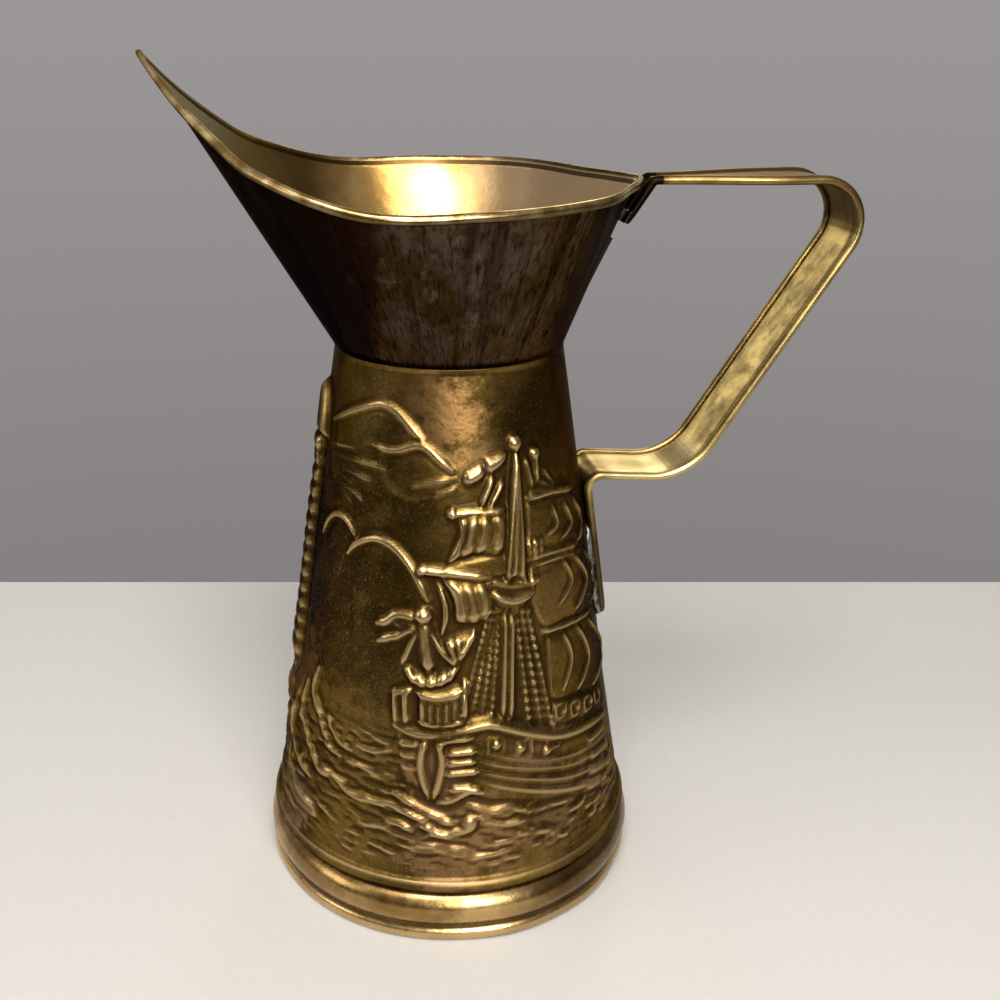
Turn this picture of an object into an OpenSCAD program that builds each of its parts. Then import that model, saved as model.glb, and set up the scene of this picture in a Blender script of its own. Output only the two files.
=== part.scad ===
// Brass pitcher: a tapered body embossed with a ship and a lighthouse, a funnel collar drawn out
// to a pointed lip, a beaded foot and an angular strap handle with rolled edges.
// Millimetres, +Z up. The origin is on the body's axis in the plane that the foot stands on.
// The lip points to -X and the handle to +X.

/* [Body] */
// Height of the body's top edge above the table
body_h = 175.5; // [165:0.5:185]
// Outer radius of the body at its top edge
neck_r = 34.3; // [31:0.1:38]
// Outer radius that the body's cone has at its lower edge
waist_r = 58.7; // [56:0.1:59.5]
// Thickness of the body's sheet
body_t = 0.8; // [0.6:0.05:1]
// Radius of the half-round bead at the body's lower edge
body_bead_r = 2.5; // [2:0.1:3]
// How far that bead stands out of the cone
body_bead_out = 1.7; // [1.2:0.1:2.2]
// Width of the lap where the sheet's two ends meet behind the handle
lap_w = 8; // [6:0.5:12]

/* [Embossing] */
// Height of the bold shapes, such as sails and hull
bold_h = 1.6; // [1:0.1:2.5]
// Height of the lighthouse under the lip
tower_h = 2.6; // [1.5:0.1:3.5]
// Height of the fine shapes, such as rigging and ripples
fine_h = 0.9; // [0.5:0.1:1.4]
// Width of the spars and the stem
spar_w = 3; // [2:0.1:4]
// Width of the fine lines
line_w = 1.5; // [1:0.1:2.2]

/* [Foot] */
// Largest radius of the foot's big bead
foot_reach = 61.6; // [60:0.1:64]
// Height of the big bead's top above the table
foot_h = 16.9; // [14:0.1:18]
// Height of the round hem that the pitcher stands on
hem_h = 5; // [4:0.1:6]
// Largest radius of that hem
hem_reach = 61; // [58:0.1:61.5]
// Thickness of the foot's sheet
foot_t = 0.9; // [0.7:0.05:1.1]
// How far the foot's spigot goes up inside the body
foot_lap = 7; // [5:0.5:10]
// Thickness of the bottom plate
disc_t = 1; // [0.7:0.1:1.5]

/* [Collar] */
// Rise of the rim's centre line, at the back and the sides, above the body's top edge
collar_h = 45.8; // [38:0.1:52]
// Rise of the tip of the lip above the rim's centre line at the sides
tip_rise = 35.5; // [27:0.1:46]
// Reach of the rim's centre line behind the axis, at the handle
rim_back = 56.8; // [53:0.1:59]
// Reach of the rim's centre line at the sides
rim_side = 64.2; // [61:0.1:67]
// Reach of the rim's centre line at the tip of the lip
tip_reach = 83.8; // [78:0.1:88]
// Thickness of the collar's sheet
collar_t = 0.7; // [0.6:0.05:0.9]
// Diameter of the rolled rim
rim_roll_d = 2.6; // [2.4:0.1:3.4]
// How far the collar's spigot goes down inside the body
neck_lap = 5; // [4:0.5:8]

/* [Handle] */
// Distance between the centres of the strap's rolled edges
strap_w = 21.8; // [18:0.1:26]
// Thickness of the strap's sheet
strap_t = 0.7; // [0.6:0.05:0.9]
// Diameter of the rolled edges
strap_roll_d = 2.6; // [2.4:0.1:3.4]
// Height of the strap's top run above the rim's centre line
grip_rise = 0.3; // [-1:0.1:1.5]
// Reach of the outer top corner from the axis
grip_reach = 132.6; // [124:0.1:142]
// Reach of the lower corner from the axis
heel_reach = 74.4; // [70:0.1:80]
// Drop of the lower corner below the body's top edge
heel_drop = 44.7; // [40:0.1:50]
// Rise of the lower arm from that corner to the body
arm_rise = 2.7; // [0:0.1:5]
// Bend radius of the top corner, at the middle of the sheet
grip_bend_r = 13; // [9:0.1:15]
// Bend radius of the lower corner
heel_bend_r = 20; // [15:0.1:21]
// Bend radius where the arm turns down the body
tang_bend_r = 4.5; // [3.5:0.1:6]
// Bend radius where the strap folds over the rim
fold_bend_r = 2.2; // [2:0.1:3]
// Height that the lower tang covers on the body
low_tang_h = 51; // [40:0.5:60]
// Height that the upper tang covers on the collar
top_tang_h = 12; // [9:0.5:16]
// Radius of the lower tang's corners
tang_round_r = 8; // [4:0.5:10]

/* [Fit] */
// Clearance of a wire in its roll and of a spigot in its sleeve
fit = 0.1; // [0.05:0.01:0.15]
// Clearance of solder beside the round faces that it wets
wet = 0.03; // [0.02:0.01:0.05]
// Gap that the solder fills under a tang
solder_gap = 0.4; // [0.3:0.05:0.6]
// Size of a solder fillet
fillet_w = 1.6; // [1:0.1:2.2]
// Length of the lower tang that is soldered, from its end
low_solder_h = 34; // [20:0.5:38]

/* [Hidden] */

// Overrun of a cut
cut = 1;
// How much thicker a bend of the strap is than a run, and how far a run reaches into it
seam_grow = 0.01;
seam_lap = 0.1;
// Facets of a full turn on the exact rounds, and where thin solder lies against one
$fn = 96;
fine_facets = 720;
// Stations round the collar and its rim
stations = 90;
// Points in the collar's wall and steps in its roll
wall_points = 4;
roll_steps = 10;
// Where the rim's curl stops, counted from the outside of the roll
curl_end = -100;

brass_dark = [0.42, 0.34, 0.16];
brass_gold = [0.72, 0.58, 0.30];
brass_pale = [0.80, 0.70, 0.42];
solder_grey = [0.62, 0.62, 0.60];

// The body's cone starts where the small bead sits on the foot
body_z = foot_h;
bead_z = body_z + body_bead_r;
bead_c = cone_r(bead_z) + body_bead_out - body_bead_r;
function cone_r(z) = waist_r + (neck_r - waist_r) * (z - body_z) / (body_h - body_z);
function cone_in(z) = cone_r(z) - body_t;

// The foot's two rounds and its spigot
hem_r = hem_h / 2;
hem_c = hem_reach - hem_r;
foot_bead_z = hem_h - foot_t;
foot_bead_r = (foot_h - foot_bead_z) / 2;
foot_bead_c = foot_reach - foot_bead_r;
spigot_z = body_z + foot_lap;
spigot_r = cone_in(spigot_z) - fit;
disc_r = hem_c - hem_r - fit;

// The heights that follow from the body's top edge, the collar's spigot and the rim's roll
rim_h = body_h + collar_h;
grip_h = rim_h + grip_rise;
heel_h = body_h - heel_drop;
neck_z = body_h - neck_lap;
neck_spigot_r = neck_r - body_t - fit;
roll_r = rim_roll_d / 2;
rim_wire_r = roll_r - collar_t - fit;
// Stations of the rim: angle from the handle, then shares of the tip's extra height,
// of the side reach, of the tip's reach and of the back's reach
rim_shares = [
    [0, 0, 0, 0, 1],
    [12, 0, 0.35, 0, 0.55],
    [30, 0, 0.81, 0, 0],
    [60, 0.01, 0.91, 0, 0],
    [90, 0, 1, 0, 0],
    [115, 0.01, 1.075, 0, 0],
    [140, 0.235, 1.11, 0, 0],
    [155, 0.42, 0.80, 0.235, 0],
    [168, 0.68, 0.30, 0.68, 0],
    [180, 1, 0, 1, 0]];

// The embossed picture as [angle from the handle, share of the body's height] points. The side
// that the drawing gives is mirrored for the other side
hull_shares = [[-118, 0.468], [-93, 0.477], [-93, 0.411], [-77, 0.405], [-62, 0.369], [-44, 0.344], [-24, 0.33],
    [-24, 0.262], [-101, 0.262], [-104, 0.33], [-106, 0.39], [-116, 0.413]];
port_shares = [[-83.4, 0.37], [-73.7, 0.352], [-64.5, 0.342]];
left_topsail_shares = [[-94, 0.768], [-76, 0.773], [-76.7, 0.705], [-87.5, 0.699], [-98.8, 0.693], [-95, 0.73]];
left_course_shares = [[-106, 0.674], [-98.4, 0.645], [-96.6, 0.61], [-102, 0.56], [-92, 0.575], [-84, 0.6],
    [-80, 0.625], [-79, 0.668]];
right_topsail_shares = [[-67, 0.78], [-52, 0.77], [-37, 0.753], [-32, 0.7], [-30, 0.665], [-50, 0.685], [-65, 0.692]];
right_main_shares = [[-66, 0.683], [-50, 0.675], [-30, 0.652], [-26, 0.6], [-28, 0.545], [-50, 0.562], [-64, 0.57]];
right_low_shares = [[-62, 0.55], [-50, 0.545], [-30, 0.525], [-25, 0.47], [-27, 0.41], [-45, 0.425], [-57, 0.435]];
nest_shares = [[-83.3, 0.632], [-74.6, 0.642], [-65.5, 0.617], [-68, 0.597], [-75, 0.6], [-81, 0.605]];
pennant_shares = [[-72, 0.866], [-81, 0.856], [-89, 0.834], [-95, 0.838], [-97, 0.824], [-90, 0.818],
    [-86, 0.816], [-78.5, 0.836], [-72, 0.845]];
flag_shares = [[-108, 0.604], [-117, 0.596], [-126, 0.585], [-125, 0.568], [-117, 0.578], [-108, 0.585]];
spar_line_shares = [
    [[-70.6, 0.872], [-72.2, 0.661], [-78.8, 0.427]],
    [[-97.6, 0.769], [-87, 0.774], [-75.8, 0.774]],
    [[-66.9, 0.786], [-53, 0.776], [-35.5, 0.758]],
    [[-108.9, 0.679], [-95.5, 0.683], [-81.8, 0.68]],
    [[-65.5, 0.687], [-50, 0.68], [-27.6, 0.658]],
    [[-64.3, 0.559], [-51, 0.555], [-29, 0.532]],
    [[-107.8, 0.604], [-106.7, 0.47]],
    [[-105.7, 0.39], [-103.2, 0.277]]];
rope_line_shares = [
    [[-83.6, 0.598], [-91.1, 0.456]],
    [[-79.5, 0.598], [-84, 0.42]],
    [[-69.1, 0.586], [-66.8, 0.412]],
    [[-66.5, 0.59], [-61, 0.4]],
    [[-72, 0.862], [-94, 0.774]],
    [[-69, 0.862], [-56, 0.79]]];
cloud_line_shares = [
    [[-165, 0.889], [-146, 0.921], [-132, 0.937], [-122, 0.928], [-115, 0.905], [-110, 0.888]],
    [[-132, 0.87], [-121, 0.873], [-111, 0.879], [-104.6, 0.87], [-98.4, 0.846]],
    [[-160, 0.687], [-152, 0.732], [-144, 0.732], [-138, 0.712]],
    [[-142, 0.679], [-133, 0.713], [-123, 0.717], [-115, 0.692], [-109, 0.658], [-106, 0.626], [-101.6, 0.588]],
    [[-114, 0.809], [-102, 0.823], [-95, 0.828]]];
ray_end_shares = [[-140, 0.846], [-132, 0.822], [-133, 0.785], [-142, 0.76], [-154, 0.722]];
lamp_shares = [-170, 0.832];
sea_line_shares = [
    [[-141, 0.3], [-128, 0.306], [-118, 0.3]],
    [[-135, 0.281], [-115, 0.272], [-104, 0.245], [-95, 0.228]],
    [[-126, 0.232], [-118, 0.222], [-110, 0.226]],
    [[-112, 0.195], [-101, 0.187], [-90, 0.192]],
    [[-90, 0.238], [-78, 0.222], [-66, 0.232]],
    [[-74, 0.196], [-62, 0.19], [-50, 0.198]],
    [[-56, 0.236], [-44, 0.226], [-32, 0.236]],
    [[-44, 0.178], [-34, 0.172], [-25, 0.178]],
    [[-134, 0.19], [-127, 0.183], [-120, 0.188]]];
rock_line_shares = [
    [[-168, 0.44], [-166, 0.37], [-165, 0.23], [-163, 0.16]],
    [[-158, 0.42], [-146, 0.4], [-142, 0.337], [-138, 0.269], [-135, 0.199]],
    [[-150, 0.3], [-147, 0.25], [-146, 0.22]]];
leaf_shares = [[-172, 0.193], [-164, 0.21], [-155, 0.204], [-145, 0.176], [-154, 0.172], [-164, 0.178]];
tower_shares = [[170, 0.43], [173, 0.84], [187, 0.84], [190, 0.43]];
roof_shares = [[169, 0.845], [167.5, 0.89], [176, 0.935], [184, 0.935], [192.5, 0.89], [191, 0.845]];

// A smooth value between the stations of a table whose first column is an angle
function slope(tab, c, i) =
    let (a = max(i - 1, 0), b = min(i + 1, len(tab) - 1))
    (tab[b][c] - tab[a][c]) / (tab[b][0] - tab[a][0]);
function span_of(tab, a, i = 0) = i >= len(tab) - 2 || a <= tab[i + 1][0] ? i : span_of(tab, a, i + 1);
function smooth(tab, c, a) =
    let (i = span_of(tab, a), w = tab[i + 1][0] - tab[i][0], t = (a - tab[i][0]) / w)
    (2 * t ^ 3 - 3 * t ^ 2 + 1) * tab[i][c] + (t ^ 3 - 2 * t ^ 2 + t) * w * slope(tab, c, i)
    + (3 * t ^ 2 - 2 * t ^ 3) * tab[i + 1][c] + (t ^ 3 - t ^ 2) * w * slope(tab, c, i + 1);
function rim_z(a) = rim_h + tip_rise * smooth(rim_shares, 1, a);
function rim_r(a) = rim_side * smooth(rim_shares, 2, a) + tip_reach * smooth(rim_shares, 3, a)
    + rim_back * smooth(rim_shares, 4, a);

// One section of the collar, as [radius, height] points, at an angle from the handle
function collar_section(a) =
    let (c = [rim_r(a), rim_z(a)], foot = [neck_r, body_h],
         d = (c - foot) / norm(c - foot), n = [d.y, -d.x],
         top_in = c - n * roll_r, low_in = foot - n * collar_t,
         top_out = c - n * (roll_r - collar_t),
         core = neck_spigot_r - collar_t)
    concat(
        [[core, neck_z], [neck_spigot_r, neck_z], [neck_spigot_r, body_h]],
        [for (i = [0:wall_points - 1]) foot + (top_out - foot) * i / wall_points],
        [for (i = [0:roll_steps]) roll_point(c, d, n, roll_r - collar_t, 180 + (curl_end - 180) * i / roll_steps)],
        [for (i = [roll_steps:-1:0]) roll_point(c, d, n, roll_r, 180 + (curl_end - 180) * i / roll_steps)],
        [for (i = [wall_points - 1:-1:1]) low_in + (top_in - low_in) * i / wall_points],
        [[core, body_h + (core - low_in.x) * d.y / d.x]]);
function roll_point(c, d, n, r, a) = c + n * r * cos(a) + d * r * sin(a);

// A closed skin over a ring of sections, each a loop of [radius, height] points
module ring_of_sections(sections) {
    m = len(sections);
    k = len(sections[0]);
    points = [for (i = [0:m - 1], p = sections[i])
        [p.x * cos(360 * i / m), p.x * sin(360 * i / m), p.y]];
    faces = [for (i = [0:m - 1], j = [0:k - 1])
        let (a = i * k + j, b = i * k + (j + 1) % k, c = ((i + 1) % m) * k + j, e = ((i + 1) % m) * k + (j + 1) % k)
        each [[a, b, e], [a, e, c]]];
    polyhedron(points, faces);
}
// Angle of a station, folded to one side of the pitcher
function station(i) = let (a = 360 * i / stations) a > 180 ? 360 - a : a;

// The strap's route in the plane of the handle, at the middle of its sheet
tang_off = solder_gap + strap_t / 2;
collar_back_r = function (z) neck_r + (rim_back - neck_r) * (z - body_h) / (rim_h - body_h);
fold_x = rim_back + roll_r + strap_t + fold_bend_r / 2;
arm_z = heel_h + arm_rise;
route = [
    [collar_back_r(grip_h - top_tang_h) + tang_off, grip_h - top_tang_h],
    [fold_x, grip_h],
    [grip_reach, grip_h],
    [heel_reach, heel_h],
    [cone_r(arm_z) + tang_off, arm_z],
    [cone_r(arm_z - low_tang_h) + tang_off, arm_z - low_tang_h]];
bend_r = [0, fold_bend_r, grip_bend_r, heel_bend_r, tang_bend_r, 0];
route_last = len(route) - 1;
function unit(v) = v / norm(v);
function way(i) = unit(route[i + 1] - route[i]);
function turn(i) = let (a = way(i - 1), b = way(i)) atan2(a.x * b.y - a.y * b.x, a * b);
// Length that a corner's bend takes from the straight runs on either side
function setback(i) = i == 0 || i == route_last ? 0 : bend_r[i] * tan(abs(turn(i)) / 2);
function heading(v) = atan2(v.y, v.x);
function run_start(i) = route[i] + way(i) * setback(i);
function run_length(i) = norm(route[i + 1] - route[i]) - setback(i) - setback(i + 1);

// Places its children in a run's own frame: X along the run, Y square to the sheet, Z across it
module in_run(i) {
    translate([run_start(i).x, 0, run_start(i).y])
        rotate([90, 0, 0])
            rotate([0, 0, heading(way(i))])
                children();
}

// Sweeps flat profiles along the route: X of a profile is square to the sheet. The first child is
// the profile of the runs, the second that of the bends, into which the runs reach a little way
module along_route() {
    for (i = [0:route_last - 1])
        in_run(i)
            translate([i == 0 ? 0 : -seam_lap, 0])
                rotate([90, 0, 90])
                    linear_extrude(run_length(i) + (i == 0 || i == route_last - 1 ? 1 : 2) * seam_lap)
                        children(0);
    for (i = [1:route_last - 1])
        in_bend(i)
            rotate_extrude(angle = abs(turn(i)))
                translate([bend_r[i], 0])
                    children(1);
}
// Places its children at a bend's centre, turned so that the bend starts at their X axis
module in_bend(i) {
    side = sign(turn(i));
    square_to = [-way(i - 1).y, way(i - 1).x] * side;
    centre = run_start(i - 1) + way(i - 1) * run_length(i - 1) + square_to * bend_r[i];
    translate([centre.x, 0, centre.y])
        rotate([90, 0, 0])
            rotate([0, 0, heading(-square_to) + min(turn(i), 0)])
                children();
}

// What comes off the corners at the two ends of the strap and its wires
module tang_corners() {
    half = strap_w / 2 + strap_roll_d / 2;
    for (end = [0, route_last - 1], side = [-1, 1])
        in_run(end)
            translate([end == 0 ? tang_round_r / 2 : run_length(end) - tang_round_r, 0,
                       side * (half - (end == 0 ? tang_round_r / 2 : tang_round_r))])
                mirror([end == 0 ? 1 : 0, 0, 0])
                    mirror([0, 0, side > 0 ? 0 : 1])
                        corner_trim(end == 0 ? tang_round_r / 2 : tang_round_r);
}
module corner_trim(r) {
    rotate([90, 0, 0])
        linear_extrude(strap_roll_d * 2, center = true)
            difference() {
                square(r + cut);
                circle(r);
            }
}

// Outline of a line through two or more [angle, share of the body's height] points
function flat(p, mid) = [cone_r(p.y * body_h) * sin(p.x - mid), p.y * body_h];
function side_step(q, i) =
    let (a = q[max(i - 1, 0)], b = q[min(i + 1, len(q) - 1)], d = unit(b - a))
    [-d.y, d.x];
function band(q, w) = concat(
    [for (i = [0:len(q) - 1]) q[i] + side_step(q, i) * w / 2],
    [for (i = [len(q) - 1:-1:0]) q[i] - side_step(q, i) * w / 2]);
module line(points, w, mid) {
    polygon(band([for (p = points) flat(p, mid)], w));
}
module patch(points, mid) {
    polygon([for (p = points) flat(p, mid)]);
}
// Stands a flat drawing up on the body's cone, as high as h above it
module raised(mid, h) {
    rotate([0, 0, mid])
        intersection() {
            rotate([90, 0, 90])
                linear_extrude(foot_reach)
                    children();
            rotate_extrude()
                polygon([[cone_r(body_z) - body_t / 2, body_z], [cone_r(body_z) + h, body_z],
                         [neck_r + h, body_h], [neck_r - body_t / 2, body_h]]);
        }
}

module body_sheet() {
    rotate_extrude()
        difference() {
            union() {
                polygon([[0, bead_z - body_bead_r], [bead_c, bead_z - body_bead_r], [cone_r(bead_z), bead_z],
                         [neck_r, body_h], [0, body_h]]);
                translate([bead_c, bead_z])
                    circle(body_bead_r);
            }
            polygon([[-cut, body_z - cut], [spigot_r + fit, body_z - cut], [spigot_r + fit, bead_z],
                     [cone_in(bead_z), bead_z], [cone_in(body_h + cut), body_h + cut], [-cut, body_h + cut]]);
            translate([bead_c, bead_z])
                circle(body_bead_r - body_t);
        }
}

// The lap of the sheet, inside behind the handle, between the solder of the foot and of the neck
lap_low = spigot_z + fillet_w + cut;
lap_high = neck_z - fillet_w - cut;
module body_lap() {
    intersection() {
        rotate_extrude()
            polygon([[cone_in(lap_low) - body_t, lap_low], [cone_in(lap_low) + body_t / 2, lap_low],
                     [cone_in(lap_high) + body_t / 2, lap_high], [cone_in(lap_high) - body_t, lap_high]]);
        translate([0, -lap_w / 2, 0])
            cube([foot_reach, lap_w, body_h]);
    }
}

// Middle angles of the three drawings of one side
ship_mid = -70;
cloud_mid = -132;
tower_mid = 180;

module ship_shapes() {
    for (shape = [hull_shares, left_topsail_shares, left_course_shares, right_topsail_shares, right_main_shares,
                  right_low_shares, nest_shares, pennant_shares, flag_shares])
        patch(shape, ship_mid);
}
module ship_spars() {
    for (points = spar_line_shares)
        line(points, spar_w, ship_mid);
    for (p = port_shares)
        translate(flat(p, ship_mid))
            square(spar_w, center = true);
}
module ship_ropes() {
    for (points = rope_line_shares)
        line(points, line_w, ship_mid);
}
module sky_lines() {
    for (points = cloud_line_shares)
        line(points, line_w * 1.2, cloud_mid);
    for (p = ray_end_shares)
        line([lamp_shares, p], line_w, cloud_mid);
    patch(leaf_shares, cloud_mid);
}
module sea_lines() {
    for (points = sea_line_shares)
        line(points, line_w * 1.2, ship_mid);
}
module rock_lines() {
    for (points = rock_line_shares)
        line(points, line_w * 1.4, tower_mid);
}
module tower_shapes() {
    for (shape = [tower_shares, roof_shares])
        patch(shape, tower_mid);
}

module body_shell() {
    color(brass_dark) {
        body_sheet();
        body_lap();
        raised(tower_mid, tower_h)
            tower_shapes();
        for (side = [0, 1])
            mirror([0, side, 0]) {
                raised(ship_mid, bold_h)
                    ship_shapes();
                raised(ship_mid, bold_h + fine_h / 2)
                    ship_spars();
                raised(ship_mid, fine_h)
                    ship_ropes();
                raised(cloud_mid, fine_h)
                    sky_lines();
                raised(ship_mid, fine_h)
                    sea_lines();
                raised(tower_mid, bold_h)
                    rock_lines();
            }
    }
}

module foot_ring() {
    color(brass_gold)
        rotate_extrude()
            difference() {
                union() {
                    translate([hem_c, hem_r])
                        circle(hem_r);
                    translate([foot_bead_c, foot_bead_z + foot_bead_r])
                        circle(foot_bead_r);
                    translate([spigot_r - foot_t, foot_bead_z + foot_bead_r])
                        square([foot_t, spigot_z - foot_bead_z - foot_bead_r]);
                }
                translate([hem_c, hem_r])
                    circle(hem_r - foot_t);
                translate([foot_bead_c, foot_bead_z + foot_bead_r])
                    circle(foot_bead_r - foot_t);
                translate([0, hem_r])
                    square([hem_c, hem_r - foot_t]);
                translate([0, hem_h])
                    square([foot_bead_c, foot_h - foot_t - hem_h]);
                square([spigot_r - foot_t, spigot_z]);
            }
}

module base_disc() {
    color(brass_gold)
        cylinder(r = disc_r, h = disc_t);
}

module base_solder() {
    color(solder_grey)
        rotate_extrude()
            polygon([[disc_r - fillet_w, disc_t], [disc_r, disc_t], [disc_r, disc_t + fillet_w]]);
}

module foot_solder() {
    top_r = cone_in(spigot_z) - wet;
    color(solder_grey)
        rotate_extrude()
            polygon([[spigot_r - foot_t, spigot_z], [top_r, spigot_z],
                     [cone_in(spigot_z + fillet_w) - wet, spigot_z + fillet_w]]);
}

module neck_solder() {
    core = neck_spigot_r - collar_t;
    color(solder_grey)
        rotate_extrude()
            polygon([[core, neck_z], [cone_in(neck_z) - wet, neck_z],
                     [cone_in(neck_z - fillet_w) - wet, neck_z - fillet_w]]);
}

module spout_collar() {
    color(brass_dark)
        ring_of_sections([for (i = [0:stations - 1]) collar_section(station(i))]);
}

module rim_wire() {
    color(brass_pale)
        ring_of_sections([for (i = [0:stations - 1])
            let (c = [rim_r(station(i)), rim_z(station(i))])
            [for (k = [0:9]) c + rim_wire_r * [cos(36 * k), sin(36 * k)]]]);
}

// The strap's cross-section, with its skin moved out by grow
module strap_profile(grow) {
    difference() {
        union() {
            square([strap_t + 2 * grow, strap_w], center = true);
            for (side = [-1, 1])
                translate([0, side * strap_w / 2])
                    circle(d = strap_roll_d + 2 * grow, $fn = 32);
        }
        for (side = [-1, 1])
            translate([0, side * strap_w / 2])
                circle(d = strap_roll_d - 2 * strap_t - 2 * grow, $fn = 32);
    }
}
module wire_profile(side, grow) {
    translate([0, side * strap_w / 2])
        circle(d = strap_roll_d - 2 * strap_t - 2 * fit + 2 * grow, $fn = 32);
}

module handle_strap() {
    color(brass_pale)
        difference() {
            along_route() {
                strap_profile(0);
                strap_profile(seam_grow);
            }
            tang_corners();
        }
}

module handle_wire(side) {
    color(brass_gold)
        difference() {
            along_route() {
                wire_profile(side, 0);
                wire_profile(side, seam_grow);
            }
            tang_corners();
        }
}
module handle_wire_left() {
    handle_wire(1);
}
module handle_wire_right() {
    handle_wire(-1);
}

// Solder under and beside the lower tang, up to the face of the strap that it holds
module handle_lower_solder() {
    i = route_last - 1;
    half = strap_w / 2 + strap_roll_d / 2 + fillet_w;
    color(solder_grey)
        difference() {
            in_run(i)
                translate([run_length(i) - low_solder_h, -neck_r / 2, -half])
                    cube([low_solder_h - tang_round_r / 4, neck_r / 2 - strap_t / 2 - wet, 2 * half]);
            translate([0, 0, body_z])
                cylinder(r1 = waist_r + wet, r2 = neck_r + wet, h = body_h - body_z, $fn = fine_facets);
            in_run(i)
                for (side = [-1, 1])
                    translate([0, 0, side * strap_w / 2])
                        rotate([0, 90, 0])
                            cylinder(d = strap_roll_d + 2 * wet, h = run_length(i));
        }
}

// Solder between the collar's back and the end of the upper tang
module handle_upper_solder() {
    low = route[0];
    high = route[0] + way(0) * top_tang_h / 3;
    n = [way(0).y, -way(0).x];
    color(solder_grey)
        rotate([90, 0, 0])
            linear_extrude(strap_w / 2, center = true)
                polygon([low - n * strap_t / 2, high - n * strap_t / 2,
                         [collar_back_r(high.y) + wet, high.y], [collar_back_r(low.y) + wet, low.y]]);
}

// Solder run along the free edge of the body's lap, inside
module body_seam_solder() {
    color(solder_grey)
        intersection() {
            rotate_extrude($fn = fine_facets)
                polygon([[0, lap_low], [cone_in(lap_low) - wet, lap_low],
                         [cone_in(lap_high) - wet, lap_high], [0, lap_high]]);
            translate([cone_in(lap_low) - body_t, lap_w / 2, lap_low])
                rotate([0, heading([lap_high - lap_low, cone_r(lap_high) - cone_r(lap_low)]), 0])
                    translate([0, 0, -cut])
                        linear_extrude(body_h)
                            polygon([[0, 0], [body_t + cut, 0], [body_t + cut, body_t * 3], [body_t / 2, body_t * 2]]);
        }
}

// Solder run down the collar's seam, outside under the handle
module collar_seam_solder() {
    low = body_h + fillet_w;
    high = grip_h - top_tang_h - fillet_w;
    color(solder_grey)
        translate([collar_back_r(low), 0, low])
            rotate([0, heading([high - low, collar_back_r(high) - collar_back_r(low)]), 0])
                intersection() {
                    translate([-fillet_w / 2, 0, 0])
                        cylinder(r = fillet_w, h = high - low);
                    translate([wet, -fillet_w, 0])
                        cube([fillet_w, 2 * fillet_w, high - low]);
                }
}

body_shell();
body_seam_solder();
foot_ring();
foot_solder();
base_disc();
base_solder();
spout_collar();
rim_wire();
neck_solder();
collar_seam_solder();
handle_strap();
handle_wire_left();
handle_wire_right();
handle_upper_solder();
handle_lower_solder();
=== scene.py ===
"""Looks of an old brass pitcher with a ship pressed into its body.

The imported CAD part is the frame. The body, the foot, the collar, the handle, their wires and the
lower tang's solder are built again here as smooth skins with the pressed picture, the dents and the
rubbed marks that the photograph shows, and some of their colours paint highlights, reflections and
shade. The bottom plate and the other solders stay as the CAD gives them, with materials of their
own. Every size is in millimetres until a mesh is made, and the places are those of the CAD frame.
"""

import logging
import math
from dataclasses import dataclass
from enum import Enum
from typing import Any, Sequence

import bpy
import numpy as np
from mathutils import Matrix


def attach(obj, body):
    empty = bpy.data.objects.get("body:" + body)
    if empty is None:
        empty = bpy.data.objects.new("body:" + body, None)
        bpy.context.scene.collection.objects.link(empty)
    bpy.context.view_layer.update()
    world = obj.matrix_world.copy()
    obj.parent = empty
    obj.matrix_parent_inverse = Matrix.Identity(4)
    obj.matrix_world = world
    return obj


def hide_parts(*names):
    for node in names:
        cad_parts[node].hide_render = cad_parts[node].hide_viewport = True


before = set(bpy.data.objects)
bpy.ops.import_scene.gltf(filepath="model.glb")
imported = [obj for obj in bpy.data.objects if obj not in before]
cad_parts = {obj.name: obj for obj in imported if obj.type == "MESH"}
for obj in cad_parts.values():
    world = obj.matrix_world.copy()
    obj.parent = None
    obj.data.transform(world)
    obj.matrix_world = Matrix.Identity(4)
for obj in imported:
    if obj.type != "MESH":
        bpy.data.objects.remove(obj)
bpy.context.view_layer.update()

LOG = logging.getLogger("pitcher")
MM = 0.001
SEED = 11
Point = tuple[float, float]
Place = tuple[float, float, float]
Array = np.ndarray


# ---------------------------------------------------------------- sizes


@dataclass(frozen=True)
class PitcherSizes:
    """The sizes of the sheet metal, in millimetres, as the CAD part has them."""

    body_h: float = 175.5
    neck_r: float = 34.3
    waist_r: float = 58.7
    body_t: float = 0.8
    body_bead_r: float = 2.5
    body_bead_out: float = 1.7
    foot_reach: float = 61.6
    foot_h: float = 16.9
    hem_h: float = 5.0
    hem_reach: float = 61.0
    foot_t: float = 0.9
    foot_lap: float = 7.0
    collar_h: float = 45.8
    tip_rise: float = 35.5
    rim_back: float = 56.8
    rim_side: float = 64.2
    tip_reach: float = 83.8
    collar_t: float = 0.7
    rim_roll_d: float = 2.6
    neck_lap: float = 5.0
    strap_w: float = 21.8
    strap_t: float = 0.7
    strap_roll_d: float = 2.6
    grip_rise: float = 0.3
    grip_reach: float = 132.6
    heel_reach: float = 74.4
    heel_drop: float = 44.7
    arm_rise: float = 2.7
    grip_bend_r: float = 13.0
    heel_bend_r: float = 20.0
    tang_bend_r: float = 4.5
    fold_bend_r: float = 2.2
    low_tang_h: float = 51.0
    top_tang_h: float = 12.0
    tang_round_r: float = 8.0
    fit: float = 0.1
    solder_gap: float = 0.4

    @property
    def rim_h(self) -> float:
        """Height of the rim's centre line at the back and the sides."""
        return self.body_h + self.collar_h

    def cone_r(self, z: Any) -> Any:
        """Outer radius of the plain body at height z: a straight cone from waist_r to neck_r."""
        share = (z - self.foot_h) / (self.body_h - self.foot_h)
        return self.waist_r + (self.neck_r - self.waist_r) * share


SIZES = PitcherSizes()


# ---------------------------------------------------------------- small maths


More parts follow.
